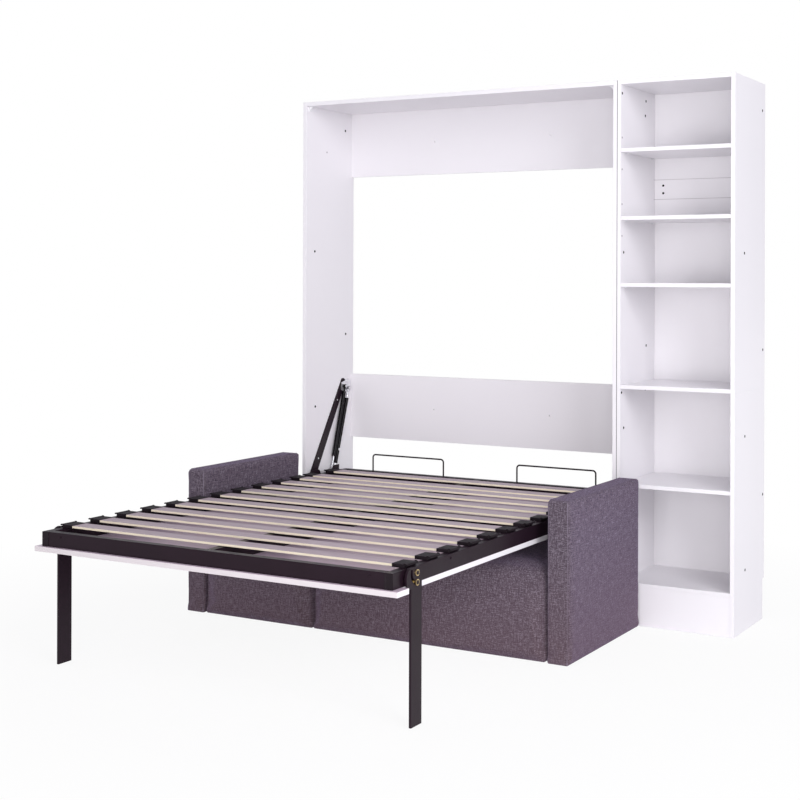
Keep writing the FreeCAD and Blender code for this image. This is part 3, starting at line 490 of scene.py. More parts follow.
@dataclass(frozen=True)
class SlatPly:
    """A slat: grey foil printed with long streaks on its faces, and bare cream ply on its edges."""

    name: str = "slat_ply"
    foil: Colour = srgb(188, 170, 179)
    streak: Colour = srgb(161, 142, 153)
    core: Colour = srgb(255, 246, 224)
    layer: Colour = srgb(240, 224, 188)
    layer_pitch: float = 0.0016
    edge_roughness: float = 0.62

    def material(self) -> Material:
        """Build the finish.

        Returns:
            The material.
        """
        graph = Graph(self.name)
        place = graph.place()
        _, _, z = graph.split(place)
        _, _, up = graph.split(graph.normal())
        flat = abs(up) > 0.5
        streaks = graph.noise(place, (3.0, 160.0, 160.0), 5.0, 0.62)
        grain = graph.noise(place, (25.0, 900.0, 900.0), 3.0)
        figure = graph.noise(place, (14.0, 30.0, 500.0), 3.0)
        layers = (z * (math.tau / self.layer_pitch)).apply("SINE")
        edge_mix = graph.between(layers, 0.3, 1.0) * 0.5 + graph.between(figure, 0.45, 0.8) * 0.5
        edge = graph.mix(edge_mix, self.core, self.layer)
        face = graph.mix(graph.between(streaks, 0.35, 0.7), self.foil, self.streak)
        silky = graph.between(streaks, 0.3, 0.7, 0.34, 0.48)
        return graph.finish(Base_Color=graph.mix(flat, edge, face),
                            Roughness=flat.choose(silky, self.edge_roughness),
                            Normal=graph.bump(flat.choose(streaks * 0.4, grain), 0.0002))


@dataclass(frozen=True)
class Upholstery:
    """Mauve-grey woven cloth: a plain weave of slubbed yarns, with a painted highlight along the arms' front
    edges and painted shade low down.
    """

    name: str = "mauve_grey_cloth"
    dark: Colour = srgb(58, 49, 57)
    middle: Colour = srgb(92, 82, 91)
    light: Colour = srgb(141, 131, 144)
    # Painted shade: the cloth is painted warmer and darker towards the floor.
    worn: Colour = srgb(104, 80, 84)
    # Painted highlight: the paler colour along the arms' front edges.
    folded: Colour = srgb(150, 140, 156)
    sheen: Colour = (0.55, 0.42, 0.72)
    yarn: float = 0.0022
    side_stretch: float = 0.65
    worn_height: float = 0.42
    arm_middle_x: float = 0.827
    arm_half: float = 0.040
    front_y: float = -0.051
    fold_reach: float = 0.0055

    def fold(self, graph: Graph, x: Value, y: Value) -> Value:
        """How near a point is to the front edges of the arms, where a highlight is painted.

        Args:
            graph: the material's nodes.
            x: the point's place across the bed.
            y: its place along the bed.

        Returns:
            More than 0 on the painted highlight.
        """
        past_edge = abs(abs(x - CABINET_X) - self.arm_middle_x) - self.arm_half
        past_front = y - self.front_y
        distance = (past_edge * past_edge + past_front * past_front).apply("SQRT")
        return graph.between(distance, 0.4 * self.fold_reach, self.fold_reach, 0.6, 0.0)

    def material(self) -> Material:
        """Build the finish.

        Returns:
            The material.
        """
        graph = Graph(self.name)
        x, y, z = graph.split(graph.place())
        aside, along, up = (abs(part) for part in graph.split(graph.normal()))
        faces_side = (aside > along) * (aside > up)
        faces_up = (up > along) * (up > aside)
        u = x + faces_side * (y * self.side_stretch - x)
        v = z + faces_up * (y - z)
        cloth = graph.node("ShaderNodeCombineXYZ", inputs={0: u, 1: v, 2: 1.0})
        weft = (u * (math.tau / self.yarn)).apply("SINE")
        warp = (v * (math.tau / self.yarn)).apply("SINE")
        over = (weft * warp) > 0.0
        threads = over.choose(abs(weft), abs(warp))
        slub = over.choose(graph.noise(cloth, (60.0, 700.0, 0.0)), graph.noise(cloth, (700.0, 60.0, 7.0)))
        along_weft = graph.noise(cloth, (38.0, 260.0, 3.0), 2.0, 0.7)
        along_warp = graph.noise(cloth, (200.0, 38.0, 5.0), 2.0, 0.7)
        flecks = graph.noise(cloth, (240.0, 240.0, 11.0), 1.0)
        tone = slub * 0.2 + along_weft * 0.28 + along_warp * 0.28 + flecks * 0.24
        stops = (0.39, self.dark), (0.5, self.middle), (0.61, self.light)
        woven = graph.node("ShaderNodeValToRGB", {"stops": stops}, {0: tone})
        # Painted shade, warmer and darker towards the floor.
        worn = graph.mix(graph.between(z, 0.0, self.worn_height, 0.4, 0.0), woven, self.worn)
        # Painted highlight along the arms' front edges.
        return graph.finish(Base_Color=graph.mix(self.fold(graph, x, y), worn, self.folded),
                            Roughness=graph.between(slub, 0.3, 0.7, 0.88, 0.98),
                            Normal=graph.bump(threads * 0.6 + slub * 0.7, 0.0006, 0.8),
                            Sheen_Weight=0.3, Sheen_Roughness=0.5, Sheen_Tint=self.sheen,
                            Specular_IOR_Level=0.15)


def finish(look: Laminate | PanelFoil | Coating | Metal | SlatPly | Upholstery) -> Material:
    """Give a palette's field that builds its material when the palette is made."""
    return field(default_factory=look.material)


@dataclass(frozen=True)
class Palette:
    """Every finish, built once."""

    board: Material = finish(Laminate())
    panel: Material = finish(PanelFoil())
    steel: Material = finish(Coating(
        "black_powder_coat", srgb(27, 15, 23), srgb(40, 26, 37), 0.32, duller=0.08, paler_from=0.0,
        paler_to=1.0, palest=0.8, patch_waves=9.0, patch_detail=4.0, grain_waves=700.0, relief=0.00012,
        specular=0.14))
    zinc: Material = finish(Metal("zinc_plate", srgb(240, 240, 243), srgb(220, 220, 225), 0.34))
    brass: Material = finish(Metal("brass_plate", srgb(240, 216, 164), srgb(220, 192, 138), 0.26))
    rod: Material = finish(Metal("polished_rod", srgb(206, 206, 210), srgb(184, 184, 190), 0.14))
    enamel: Material = finish(Coating(
        "spring_enamel", srgb(9, 6, 10), srgb(18, 13, 19), 0.12, glossier=0.0, duller_from=0.35,
        patch_waves=45.0, grain_waves=1500.0, grain_detail=1.0, relief=0.00001, specular=0.14))
    black_plastic: Material = finish(Coating("black_plastic", srgb(26, 18, 24), srgb(38, 30, 37)))
    bolt_black: Material = finish(Coating("bolt_black", srgb(14, 12, 16), srgb(26, 24, 30), 0.8))
    white_plastic: Material = finish(Coating("white_plastic", srgb(240, 240, 242), srgb(230, 230, 233), 0.4))
    grey_plastic: Material = finish(Coating("grey_plastic", srgb(176, 170, 176), srgb(190, 184, 190), 0.5))
    slat: Material = finish(SlatPly())
    cloth: Material = finish(Upholstery())


# Modelling helpers

def deselect_all() -> None:
    """Leave nothing selected."""
    if bpy.context.object and bpy.context.object.mode != "OBJECT":
        bpy.ops.object.mode_set(mode="OBJECT")
    bpy.ops.object.select_all(action="DESELECT")


def pick(*pieces: Piece) -> None:
    """Select some pieces alone.

    Args:
        pieces: the pieces. The first one becomes active.
    """
    deselect_all()
    for piece in pieces:
        piece.select_set(True)
    bpy.context.view_layer.objects.active = pieces[0]


@contextmanager
def on_faces(piece: Piece, wanted: FaceTest) -> Iterator[None]:
    """Work in edit mode, by operators, on the faces of a piece that pass a test.

    Args:
        piece: the piece.
        wanted: tells whether a face is wanted.
    """
    pick(piece)
    mesh = piece.data
    for part in (*mesh.vertices, *mesh.edges):
        part.select = False
    for polygon in mesh.polygons:
        polygon.select = wanted(polygon)
    bpy.ops.object.mode_set(mode="EDIT")
    bpy.ops.mesh.select_mode(type="FACE")
    yield
    bpy.ops.object.mode_set(mode="OBJECT")


def facing(direction: Vector, least: float = 0.9) -> FaceTest:
    """Give the test for the faces that look along a direction."""
    return lambda face: face.normal.dot(direction) > least


def inset(piece: Piece, wanted: FaceTest, *steps: Spot) -> None:
    """Inset some faces of a piece, once or more.

    Args:
        piece: the piece.
        wanted: tells whether a face is wanted.
        steps: the thickness and depth of each inset.
    """
    with on_faces(piece, wanted):
        for thickness, depth in steps:
            bpy.ops.mesh.inset(thickness=thickness, depth=depth)


def add_modifier(piece: Piece, kind: str, **settings: float | int | str | bool) -> str:
    """Add a modifier.

    Args:
        piece: the piece.
        kind: the modifier's type.
        settings: its settings by name.

    Returns:
        The modifier's name.
    """
    modifier = piece.modifiers.new(kind.lower(), kind)
    for name, setting in settings.items():
        setattr(modifier, name, setting)
    return modifier.name


def apply_modifier(piece: Piece, kind: str, **settings: float | int | str | bool) -> None:
    """Add a modifier and apply it at once."""
    pick(piece)
    bpy.ops.object.modifier_apply(modifier=add_modifier(piece, kind, **settings))


def round_off(piece: Piece, width: float, segments: int = 2) -> None:
    """Round the sharp edges of a piece."""
    apply_modifier(piece, "BEVEL", width=width, segments=segments, limit_method="ANGLE")


def settle(piece: Piece) -> None:
    """Put an object's place into its mesh, so that the object stands at the origin."""
    pick(piece)
    bpy.ops.object.transform_apply(location=True, rotation=True, scale=True)


def add_cylinder(radius: float, length: float, start: Vector, direction: Vector, sides: int = 24) -> Piece:
    """Add a closed cylinder from a point along a direction.

    Args:
        radius: its radius.
        length: its length.
        start: the middle of its near end.
        direction: where its far end lies.
        sides: how many sides it has.

    Returns:
        The cylinder, with its place in its mesh.
    """
    axis = direction.normalized()
    deselect_all()
    bpy.ops.mesh.primitive_cylinder_add(vertices=sides, radius=radius, depth=length,
                                        location=start + axis * (length / 2),
                                        rotation=axis.to_track_quat("Z", "X").to_euler())
    piece = bpy.context.object
    settle(piece)
    return piece


def add_box(low: Vector, high: Vector) -> Piece:
    """Add a box.

    Args:
        low: its low corner.
        high: its high corner.

    Returns:
        The box, with its place in its mesh.
    """
    deselect_all()
    bpy.ops.mesh.primitive_cube_add(size=1.0, location=(low + high) / 2)
    piece = bpy.context.object
    piece.scale = high - low
    settle(piece)
    return piece


def join(name: str, pieces: Sequence[Piece]) -> Piece:
    """Join objects into one.

    Args:
        name: the name of the joined piece.
        pieces: one object or more.

    Returns:
        The joined piece.
    """
    pick(*pieces)
    if len(pieces) > 1:
        bpy.ops.object.join()
    joined = bpy.context.object
    joined.name = name
    joined.data.name = name
    return joined


def dress(piece: Piece, material: Material) -> None:
    """Give a piece one material."""
    piece.data.materials.clear()
    piece.data.materials.append(material)


def smooth(piece: Piece, degrees: float) -> None:
    """Shade a piece smooth, except across sharper corners."""
    pick(piece)
    bpy.ops.object.shade_smooth_by_angle(angle=math.radians(degrees))


def hand_over(name: str, pieces: Sequence[Piece], material: Material, body: str,
              degrees: float | None = 35.0) -> None:
    """Join and dress a finished piece, and let it ride on its body.

    Args:
        name: the piece's name.
        pieces: what it is made of.
        material: its finish.
        body: the body that it rides on.
        degrees: corners sharper than this stay sharp; None keeps the shading as it is.
    """
    piece = join(name, pieces)
    dress(piece, material)
    if degrees:
        smooth(piece, degrees)
    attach(piece, body)
    log.info("%s: %d faces", piece.name, len(piece.data.polygons))


# Carried-over solids

@dataclass
class Carcass:
    """The rigid solids of the frame: each gets its finish, and boards, slats and plastic a broken edge."""

    nodes: dict[str, Piece]
    palette: Palette
    board_edge: float = 0.0009
    slat_edge: float = 0.0005

    def build(self, subparts: Sequence[dict[str, str]]) -> None:
        """Dress every solid that stays.

        Args:
            subparts: the record's list of nodes and their material slots.
        """
        palette = self.palette
        finishes = {"white_board": palette.board, "black_steel": palette.steel, "zinc_steel": palette.zinc,
                    "brass": palette.brass, "spring_black": palette.enamel, "spring_rod": palette.rod,
                    "slat_wood": palette.slat, "black_plastic": palette.black_plastic,
                    "white_plastic": palette.white_plastic}
        edges = {"white_board": self.board_edge, "black_plastic": self.board_edge,
                 "white_plastic": self.board_edge, "slat_wood": self.slat_edge}
        for subpart in subparts:
            slot = subpart["material_slot"]
            if slot not in finishes:
                continue
            node = self.nodes[subpart["node"]]
            dress(node, palette.panel if node.name == "front_panel" else finishes[slot])
            if slot in edges:
                self.break_edges(node, edges[slot])
            log.info("dressed %s as %s", node.name, slot)

    @staticmethod
    def break_edges(node: Piece, width: float) -> None:
        """Soften a solid's sharp edges without touching its mesh.

        Args:
            node: the solid.
            width: how wide its edges get.
        """
        add_modifier(node, "WELD", merge_threshold=0.00002)
        add_modifier(node, "DECIMATE", decimate_type="DISSOLVE", angle_limit=math.radians(0.5))
        add_modifier(node, "BEVEL", width=width, segments=2, limit_method="ANGLE",
                     angle_limit=math.radians(40), use_clamp_overlap=True)
        add_modifier(node, "WEIGHTED_NORMAL", mode="FACE_AREA", weight=90)


# Sofa

@dataclass(frozen=True)
class Padding:
    """How a padded block is swollen: its mesh size, how far it may move and reach, and for how long."""

    voxel: float
    cap: float
    side_gap: float
    front_reach: float
    top_reach: float
    rear_gap: float = 0.002
    frames: int = 20
    pressure: float = 4.0
    quality: int = 4

    def room(self, low: Vector, high: Vector) -> tuple[Vector, Vector]:
        """Give the corners of the space that a block may fill, from the corners of its solid."""
        past_high = Vector((-self.side_gap, -self.rear_gap, self.top_reach))
        return low + Vector((self.side_gap, -self.front_reach, 0.0)), high + past_high

    def remesh(self, piece: Piece) -> None:
        """Give a block an even mesh."""
        apply_modifier(piece, "REMESH", mode="VOXEL", voxel_size=self.voxel, use_smooth_shade=True)

    def swell(self, piece: Piece, low: Vector, high: Vector) -> None:
        """Blow a block up as cloth, keep each point near its start, and press it flat on its neighbours.

        Args:
            piece: the remeshed block, in its place. Its lowest points stay where they are.
            low: the low corner of the space that the block may fill.
            high: the high corner of that space.
        """
        mesh = piece.data
        rest = [vertex.co.copy() for vertex in mesh.vertices]
        moved = self._blown_up(piece, rest)
        for vertex, start, end in zip(mesh.vertices, rest, moved):
            shift = end - start
            if shift.length > self.cap:
                shift.length = self.cap
            place = start + shift
            vertex.co = [min(max(place[axis], low[axis]), high[axis]) for axis in range(3)]
        mesh.update()

    def _blown_up(self, piece: Piece, rest: Sequence[Vector]) -> list[Vector]:
        """Run the cloth.

        Args:
            piece: the block.
            rest: the places of its points before.

        Returns:
            Their places after.
        """
        floor = min(co.z for co in rest)
        held = piece.vertex_groups.new(name="held")
        held.add([index for index, co in enumerate(rest) if co.z < floor + 1.5 * self.voxel], 1.0, "REPLACE")
        pick(piece)
        cloth = piece.modifiers.new("cloth", "CLOTH")
        cloth.settings.vertex_group_mass = held.name
        cloth.settings.use_pressure = True
        cloth.settings.uniform_pressure_force = self.pressure
        cloth.settings.effector_weights.gravity = 0.0
        cloth.settings.quality = self.quality
        cloth.collision_settings.use_collision = False
        cloth.point_cache.frame_start = 1
        cloth.point_cache.frame_end = self.frames
        scene = bpy.context.scene
        for frame in range(1, self.frames + 1):
            scene.frame_set(frame)
        swollen = piece.evaluated_get(bpy.context.evaluated_depsgraph_get()).to_mesh()
        moved = [vertex.co.copy() for vertex in swollen.vertices]
        piece.modifiers.remove(cloth)
        scene.frame_set(1)
        return moved


@dataclass
class Sofa:
    """Two upholstered arms and two seat blocks, each padded, with a welt along its sewn edges."""

    palette: Palette
    arm_padding: Padding = Padding(
        voxel=0.007, cap=0.0055, side_gap=0.0004, front_reach=0.004, top_reach=0.003)
    seat_padding: Padding = Padding(
        voxel=0.0105, cap=0.010, side_gap=0.0006, front_reach=0.005, top_reach=0.004)
    side_inset: float = 0.0015
    front_inset: float = 0.005
    crown: float = 0.012
    arm_headroom: float = 0.003
    arm_top: float = 0.015
    arm_bulge: float = 0.004
    arm_hoop: float = 0.022
    seat_nose: float = 0.050
    seat_hoop: float = 0.054
    seat_end: float = 0.034
    corner: float = 0.007
    near: float = 0.01
    hoop_rear: float = 0.018
    hoop_foot: float = 0.004
    welt_radius: float = 0.0016
    welt_in: float = 0.0055
    welt_proud: float = 0.3
    welt_step: float = 0.03

    def build(self) -> None:
        """Make every block and its welts."""
        for side in Side:
            self.arm(side)
        self.seat("short")
        self.seat("long")

    def arm(self, side: Side) -> None:
        """Make one arm: a slab with a rounded top and close corners, swollen a little.

        Args:
            side: the arm's side.
        """
        node = f"sofa_arm_{side.word}"
        low, high = (Vector(corner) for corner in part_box(node))
        arm = self.block(low, high, self.arm_headroom)
        floor, top = low.z, high.z - self.near
        self.round_edges(arm, self.arm_top, lambda middle: middle.z > top)
        self.round_edges(arm, self.corner, lambda middle: middle.z > floor + self.near)
        self.arm_padding.remesh(arm)
        room_low, room_high = self.arm_padding.room(low, high)
        outer = room_low if side is Side.LEFT else room_high
        outer.x += self.arm_bulge * side.value
        self.arm_padding.swell(arm, room_low, room_high)
        self.cover(f"arm_cover_{side.word}", arm, node, self.hoop(low, high, self.arm_hoop))

    def seat(self, length: str) -> None:
        """Make one seat block: upright front, round nose, crowned top, and ends that round over.

        Args:
            length: the word for its length.
        """
        node = f"sofa_seat_{length}"
        low, high = (Vector(corner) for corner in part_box(node))
        seat = self.block(low, high, self.crown)
        floor, front, top = low.z, low.y, high.z
        self.round_edges(seat, self.seat_nose,
                         lambda middle: middle.z > top - self.seat_nose and middle.y < front + 2 * self.near)
        self.round_edges(seat, self.corner, lambda middle: middle.z > floor + self.near)
        self.seat_padding.remesh(seat)
        self.round_ends(seat)
        self.seat_padding.swell(seat, *self.seat_padding.room(low, high))
        path = self.hoop(low, high - self.crown * UPWARDS, self.seat_hoop)
        self.cover(f"seat_cover_{length}", seat, node, path)

    def block(self, low: Vector, high: Vector, headroom: float) -> Piece:
        """Add a plain block inside a solid's box, smaller by the insets and lower by the headroom."""
        inset_high = Vector((-self.side_inset, -self.side_inset, -headroom))
        return add_box(low + Vector((self.side_inset, self.front_inset, 0.0)), high + inset_high)

    def round_ends(self, piece: Piece) -> None:
        """Let the top of a block fall away in a quarter round at both of its ends.

        Args:
            piece: the remeshed block.
        """
        mesh = piece.data
        low_x = min(vertex.co.x for vertex in mesh.vertices)
        high_x = max(vertex.co.x for vertex in mesh.vertices)
        top = max(vertex.co.z for vertex in mesh.vertices)
        reach = 3.0 * self.seat_end
        for vertex in mesh.vertices:
            inside = min(vertex.co.x - low_x, high_x - vertex.co.x)
            short = max(0.0, self.seat_end - inside)
            drop = self.seat_end - math.sqrt(self.seat_end ** 2 - short ** 2)
            share = max(0.0, 1.0 - (top - vertex.co.z) / reach)
            vertex.co.z -= drop * share
        mesh.update()

    @staticmethod
    def round_edges(piece: Piece, radius: float, wanted: Callable[[Vector], bool]) -> None:
        """Bevel the long straight edges of a block.

        Args:
            piece: the block.
            radius: the radius of the rounded edges.
            wanted: tells from an edge's middle whether the edge is wanted.
        """
        pick(piece)
        mesh = piece.data
        for part in (*mesh.polygons, *mesh.vertices):
            part.select = False
        for edge in mesh.edges:
            start, end = (mesh.vertices[index].co for index in edge.vertices)
            edge.select = (start - end).length > radius and wanted((start + end) / 2)
        bpy.ops.object.mode_set(mode="EDIT")
        bpy.ops.mesh.select_mode(type="EDGE")
        bpy.ops.mesh.bevel(offset=radius, segments=6, profile=0.5, clamp_overlap=True)
        bpy.ops.mesh.select_all(action="SELECT")
        bpy.ops.mesh.remove_doubles(threshold=0.0001)
        bpy.ops.mesh.normals_make_consistent(inside=False)
        bpy.ops.object.mode_set(mode="OBJECT")

    def hoop(self, low: Vector, high: Vector, nose: float) -> list[Spot]:
        """Draw the outline of a block's end, up the front, over the top and down the back.

        Args:
            low: the block's low corner.
            high: its high corner.
            nose: the radius of the front corner.

        Returns:
            Places as Y and Z.
        """
        steps = 8
        turns = [math.pi / 2 * step / steps for step in range(steps + 1)]
        front, back, top = low.y, high.y, high.z
        foot, waist, rear = low.z + self.hoop_foot, (low.z + top) / 2, self.hoop_rear
        path = [(front, foot), (front, waist)]
        path += [(front + nose * (1 - math.cos(turn)), top - nose * (1 - math.sin(turn))) for turn in turns]
        path.append(((front + back) / 2, top))
        path += [(back - rear * (1 - math.sin(turn)), top - rear * (1 - math.cos(turn))) for turn in turns]
        return path + [(back, waist), (back, foot)]

    def cover(self, name: str, piece: Piece, node: str, path: Sequence[Spot]) -> None:
        """Finish a block, sew a welt along both of its ends, and hand them over.

        Args:
            name: the cover's name.
            piece: the swollen block.
            node: the solid that it stands for.
            path: the outline of its ends.
        """
        apply_modifier(piece, "SUBSURF", levels=1, render_levels=1)
        pick(piece)
        bpy.ops.object.shade_smooth()
        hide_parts(node)
        hand_over(name, [piece], self.palette.cloth, Body.CABINET.value, None)
        mesh = piece.data
        tree = BVHTree.FromPolygons([vertex.co for vertex in mesh.vertices],
                                    [tuple(polygon.vertices) for polygon in mesh.polygons])
        low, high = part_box(node)
        spots = self.divide(path)
        welts = []
        for x in (low[0] + self.welt_in, high[0] - self.welt_in):
            welts.append(self.welt([self.onto(tree, Vector((x, y, z))) for y, z in spots]))
        hand_over(f"{name}_welts", welts, self.palette.cloth, Body.CABINET.value, None)

    def divide(self, path: Sequence[Spot]) -> list[Spot]:
        """Put more places on the long runs of a path.

        Args:
            path: the places at its corners.

        Returns:
            All the places.
        """
        places = [path[0]]
        for (y0, z0), (y1, z1) in zip(path, path[1:]):
            parts = max(1, round(math.hypot(y1 - y0, z1 - z0) / self.welt_step))
            places += [(y0 + (y1 - y0) * part / parts, z0 + (z1 - z0) * part / parts)
                       for part in range(1, parts + 1)]
        return places

    def onto(self, tree: BVHTree, point: Vector) -> Vector:
        """Move a point to the cloth's surface, where a welt round it lies partly sunk."""
        place, normal, _, _ = tree.find_nearest(point)
        return place + normal * (self.welt_proud * self.welt_radius)

    def welt(self, points: Sequence[Vector]) -> Piece:
        """Make a round cord of cloth.

        Args:
            points: places on the surface that it runs through.

        Returns:
            The welt.
        """
        deselect_all()
        bpy.ops.curve.primitive_bezier_curve_add()
        cord = bpy.context.object
        line = cord.data
        line.splines.clear()
        spline = line.splines.new("POLY")
        spline.points.add(len(points) - 1)
        for knot, point in zip(spline.points, points):
            knot.co = (*point, 1.0)
        line.dimensions = "3D"
        line.bevel_depth = self.welt_radius
        line.bevel_resolution = 2
        line.use_fill_caps = True
        pick(cord)
        bpy.ops.object.convert(target="MESH")
        made = bpy.context.object
        smooth(made, 60.0)
        return made


# Fittings and trim

@dataclass(frozen=True)
class SocketHead:
    """A round bolt or screw head with a rounded rim and a hexagonal socket."""

    radius: float
    height: float
    sunk: float
    rim: float
    rim_steps: int
    land: float
    socket: float
    taper: float = 0.0002

    def made(self, place: Vector, outwards: Vector) -> Piece:
        """Make one head.

        Args:
            place: its middle, on the surface that it sits on.
            outwards: the way that it faces.

        Returns:
            The head.
        """
        head = add_cylinder(self.radius, self.height, place - outwards * self.sunk, outwards)
        with on_faces(head, facing(outwards)):
            bpy.ops.mesh.bevel(offset=self.rim, segments=self.rim_steps)
        inset(head, facing(outwards, 0.99), (self.land, 0.0), (self.taper, -self.socket))
        return head


@dataclass
class BoardFittings:
    """The small round fittings that show on the boards: dark bolt heads and pale covers."""

    palette: Palette
    bolt_radius: float = 0.0056
    cover_radius: float = 0.0042
    strip_radius: float = 0.0050
    sunk: float = 0.0012
    proud: float = 0.0005
    book_inner_x: float = 0.786
    book_outer_x: float = 1.260
    book_board: float = 0.016
    cabinet_inner_x: float = 0.752
    strip_x: float = 0.824
    strip_y: float = -0.016
    strip_heights: Spot = (1.786, 1.754)

    # Places as depth from the wall and height, read from the photograph.
    book_inner: tuple[Spot, ...] = (
        (-0.382, 2.139), (-0.121, 2.135), (-0.128, 2.073), (-0.363, 1.497), (-0.112, 1.110),
        (-0.382, 0.930), (-0.358, 0.786), (-0.121, 0.927),
    )
    book_covers: tuple[Spot, ...] = ((-0.382, 1.960), (-0.382, 1.832), (-0.382, 1.691), (-0.382, 1.563))
    book_outer: tuple[Spot, ...] = (
        (-0.038, 2.078), (-0.274, 1.492), (-0.026, 1.101), (-0.262, 0.769), (-0.022, 0.509), (-0.255, 0.240),
    )
    cabinet_inner: tuple[Spot, ...] = ((-0.074, 2.089), (-0.326, 1.512), (-0.067, 1.124), (-0.319, 0.798))
    cabinet_covers: tuple[Spot, ...] = ((-0.229, 1.975),)

    def build(self) -> None:
        """Make the fittings of the bookcase and the cabinet."""
        bolts = self.facing_inwards(self.book_inner, self.cabinet_inner, self.bolt_radius)
        for y, z in self.book_outer:
            bolts.append(self.cap(from_cabinet(self.book_outer_x, y, z), across(1), self.bolt_radius))
        for z in self.strip_heights:
            bolts.append(self.cap(from_cabinet(self.strip_x, self.strip_y, z), FORWARDS, self.strip_radius))
        covers = self.facing_inwards(self.book_covers, self.cabinet_covers, self.cover_radius)
        for name, caps, material, slot in (
            ("board_bolts", bolts, self.palette.bolt_black, "zinc_steel"),
            ("board_covers", covers, self.palette.grey_plastic, "white_plastic"),
        ):
            hand_over(name, caps, material, Body.CABINET.value)

    def facing_inwards(self, book: Sequence[Spot], cabinet: Sequence[Spot], radius: float) -> list[Piece]:
        """Make a fitting at each place on both inner faces of the bookcase and of the cabinet.

        Args:
            book: the places in the bookcase.
            cabinet: the places in the cabinet.
            radius: of each fitting.

        Returns:
            The fittings.
        """
        caps = []
        for y, z in book:
            for x, facing_way in ((self.book_inner_x, 1), (self.book_outer_x - self.book_board, -1)):
                caps.append(self.cap(from_cabinet(x, y, z), across(facing_way), radius))
        for y, z in cabinet:
            for side in Side:
                place = from_cabinet(side.value * self.cabinet_inner_x, y, z)
                caps.append(self.cap(place, across(-side.value), radius))
        return caps

    def cap(self, place: Vector, outwards: Vector, radius: float) -> Piece:
        """Make one round fitting: a rim, and a middle that is sunk a little.

        Args:
            place: its middle, on the board's face.
            outwards: the way that it faces.
            radius: its radius.

        Returns:
            The fitting.
        """
        disc = add_cylinder(radius, self.sunk + self.proud, place - outwards * self.sunk, outwards, 16)
        inset(disc, facing(outwards), (0.22 * radius, 0.0), (0.12 * radius, -0.6 * self.proud))
        return disc


@dataclass
class FrameTrim:
    """End plugs in the side rails, weld beads at the corners and the small screws of the frame."""

    palette: Palette
    rail_x: float = 0.725
    rail_width: float = 0.030
    rail_low: float = 0.440
    rail_high: float = 0.492
    foot_y: float = -2.046
    middle_y: float = -1.010
    head_y: float = -0.105
    plug: float = 0.002
    plug_depth: float = 0.006
    plug_gap: float = 0.0003
    plug_rim: float = 0.003
    plug_step: float = 0.0008
    plug_round: float = 0.0007
    bead: float = 0.0016
    bead_gap: float = 0.001
    ripples: int = 9
    ripple: float = 0.18
    screw: SocketHead = SocketHead(0.0045, 0.0026, 0.0006, 0.0009, 3, 0.0015, 0.0012)
    screw_y: float = -1.684
    screw_z: float = 0.478
    foot_screw_x: float = 0.640

    def build(self) -> None:
        """Make all of the trim."""
        ends = ((self.foot_y, -1), (self.head_y, 1))
        plugs = [self.end_plug(side, end, outwards) for side in Side for end, outwards in ends]
        corners = (self.foot_y + self.rail_width, self.middle_y, self.head_y - self.rail_width)
        inner = self.rail_x - self.rail_width
        beads = [self.weld(from_cabinet(side.value * inner, y, self.rail_low + self.bead_gap))
                 for side in Side for y in corners]
        for name, pieces, material, slot, degrees in (
            ("rail_plugs", plugs, self.palette.black_plastic, "black_plastic", 35.0),
            ("weld_beads", beads, self.palette.steel, "black_steel", None),
            ("rail_screws", self.screws(), self.palette.steel, "black_steel", 35.0),
        ):
            hand_over(name, pieces, material, Body.BED.value, degrees)

    def end_plug(self, side: Side, end: float, outwards: int) -> Piece:
        """Make the moulded plug of one end of a side rail.

        Args:
            side: the rail's side.
            end: where the rail ends.
            outwards: -1 at the foot, 1 at the head.

        Returns:
            The plug.
        """
        left, right = sorted(side.value * x for x in (self.rail_x - self.rail_width, self.rail_x))
        near, far = sorted((end - outwards * self.plug_depth, end + outwards * self.plug))
        gap = self.plug_gap
        plug = add_box(from_cabinet(left + gap, near, self.rail_low + gap),
                       from_cabinet(right - gap, far, self.rail_high - gap))
        outer = facing(Vector((0.0, outwards, 0.0)))
        inset(plug, outer, (self.plug_rim, 0.0), (self.plug_step, -self.plug_step))
        round_off(plug, self.plug_round, 3)
        return plug

    def weld(self, start: Vector) -> Piece:
        """Make one upright weld bead: a bar with ripples.

        Args:
            start: its lower end.

        Returns:
            The bead.
        """
        length = self.rail_high - self.rail_low - 2 * self.bead_gap
        bead = add_cylinder(self.bead, length, start, UPWARDS, 10)
        with on_faces(bead, lambda face: abs(face.normal.dot(UPWARDS)) < 0.5):
            bpy.ops.mesh.subdivide(number_cuts=1)
        shape = bmesh.new()
        shape.from_mesh(bead.data)
        cuts = 2 * self.ripples
        for step in range(1, cuts):
            place = start + UPWARDS * (length * step / cuts)
            geometry = shape.verts[:] + shape.edges[:] + shape.faces[:]
            bmesh.ops.bisect_plane(shape, geom=geometry, plane_co=place, plane_no=UPWARDS)
        for vertex in shape.verts:
            along = (vertex.co - start).dot(UPWARDS)
            centre = start + UPWARDS * along
            ripple = 1.0 + self.ripple * math.sin(math.tau * along / (length / self.ripples))
            vertex.co = centre + (vertex.co - centre) * ripple
        shape.to_mesh(bead.data)
        shape.free()
        smooth(bead, 60.0)
        return bead

    def screws(self) -> list[Piece]:
        """Put a pan-head screw where the photograph shows one on the rails.

        Returns:
            The screws.
        """
        heads = []
        for sign in (1, -1):
            place = from_cabinet(sign * self.rail_x, self.screw_y, self.screw_z)
            heads.append(self.screw.made(place, across(sign)))
        for sign in (-1, 1):
            place = from_cabinet(sign * self.foot_screw_x, self.foot_y, self.screw_z)
            heads.append(self.screw.made(place, FORWARDS))
        return heads


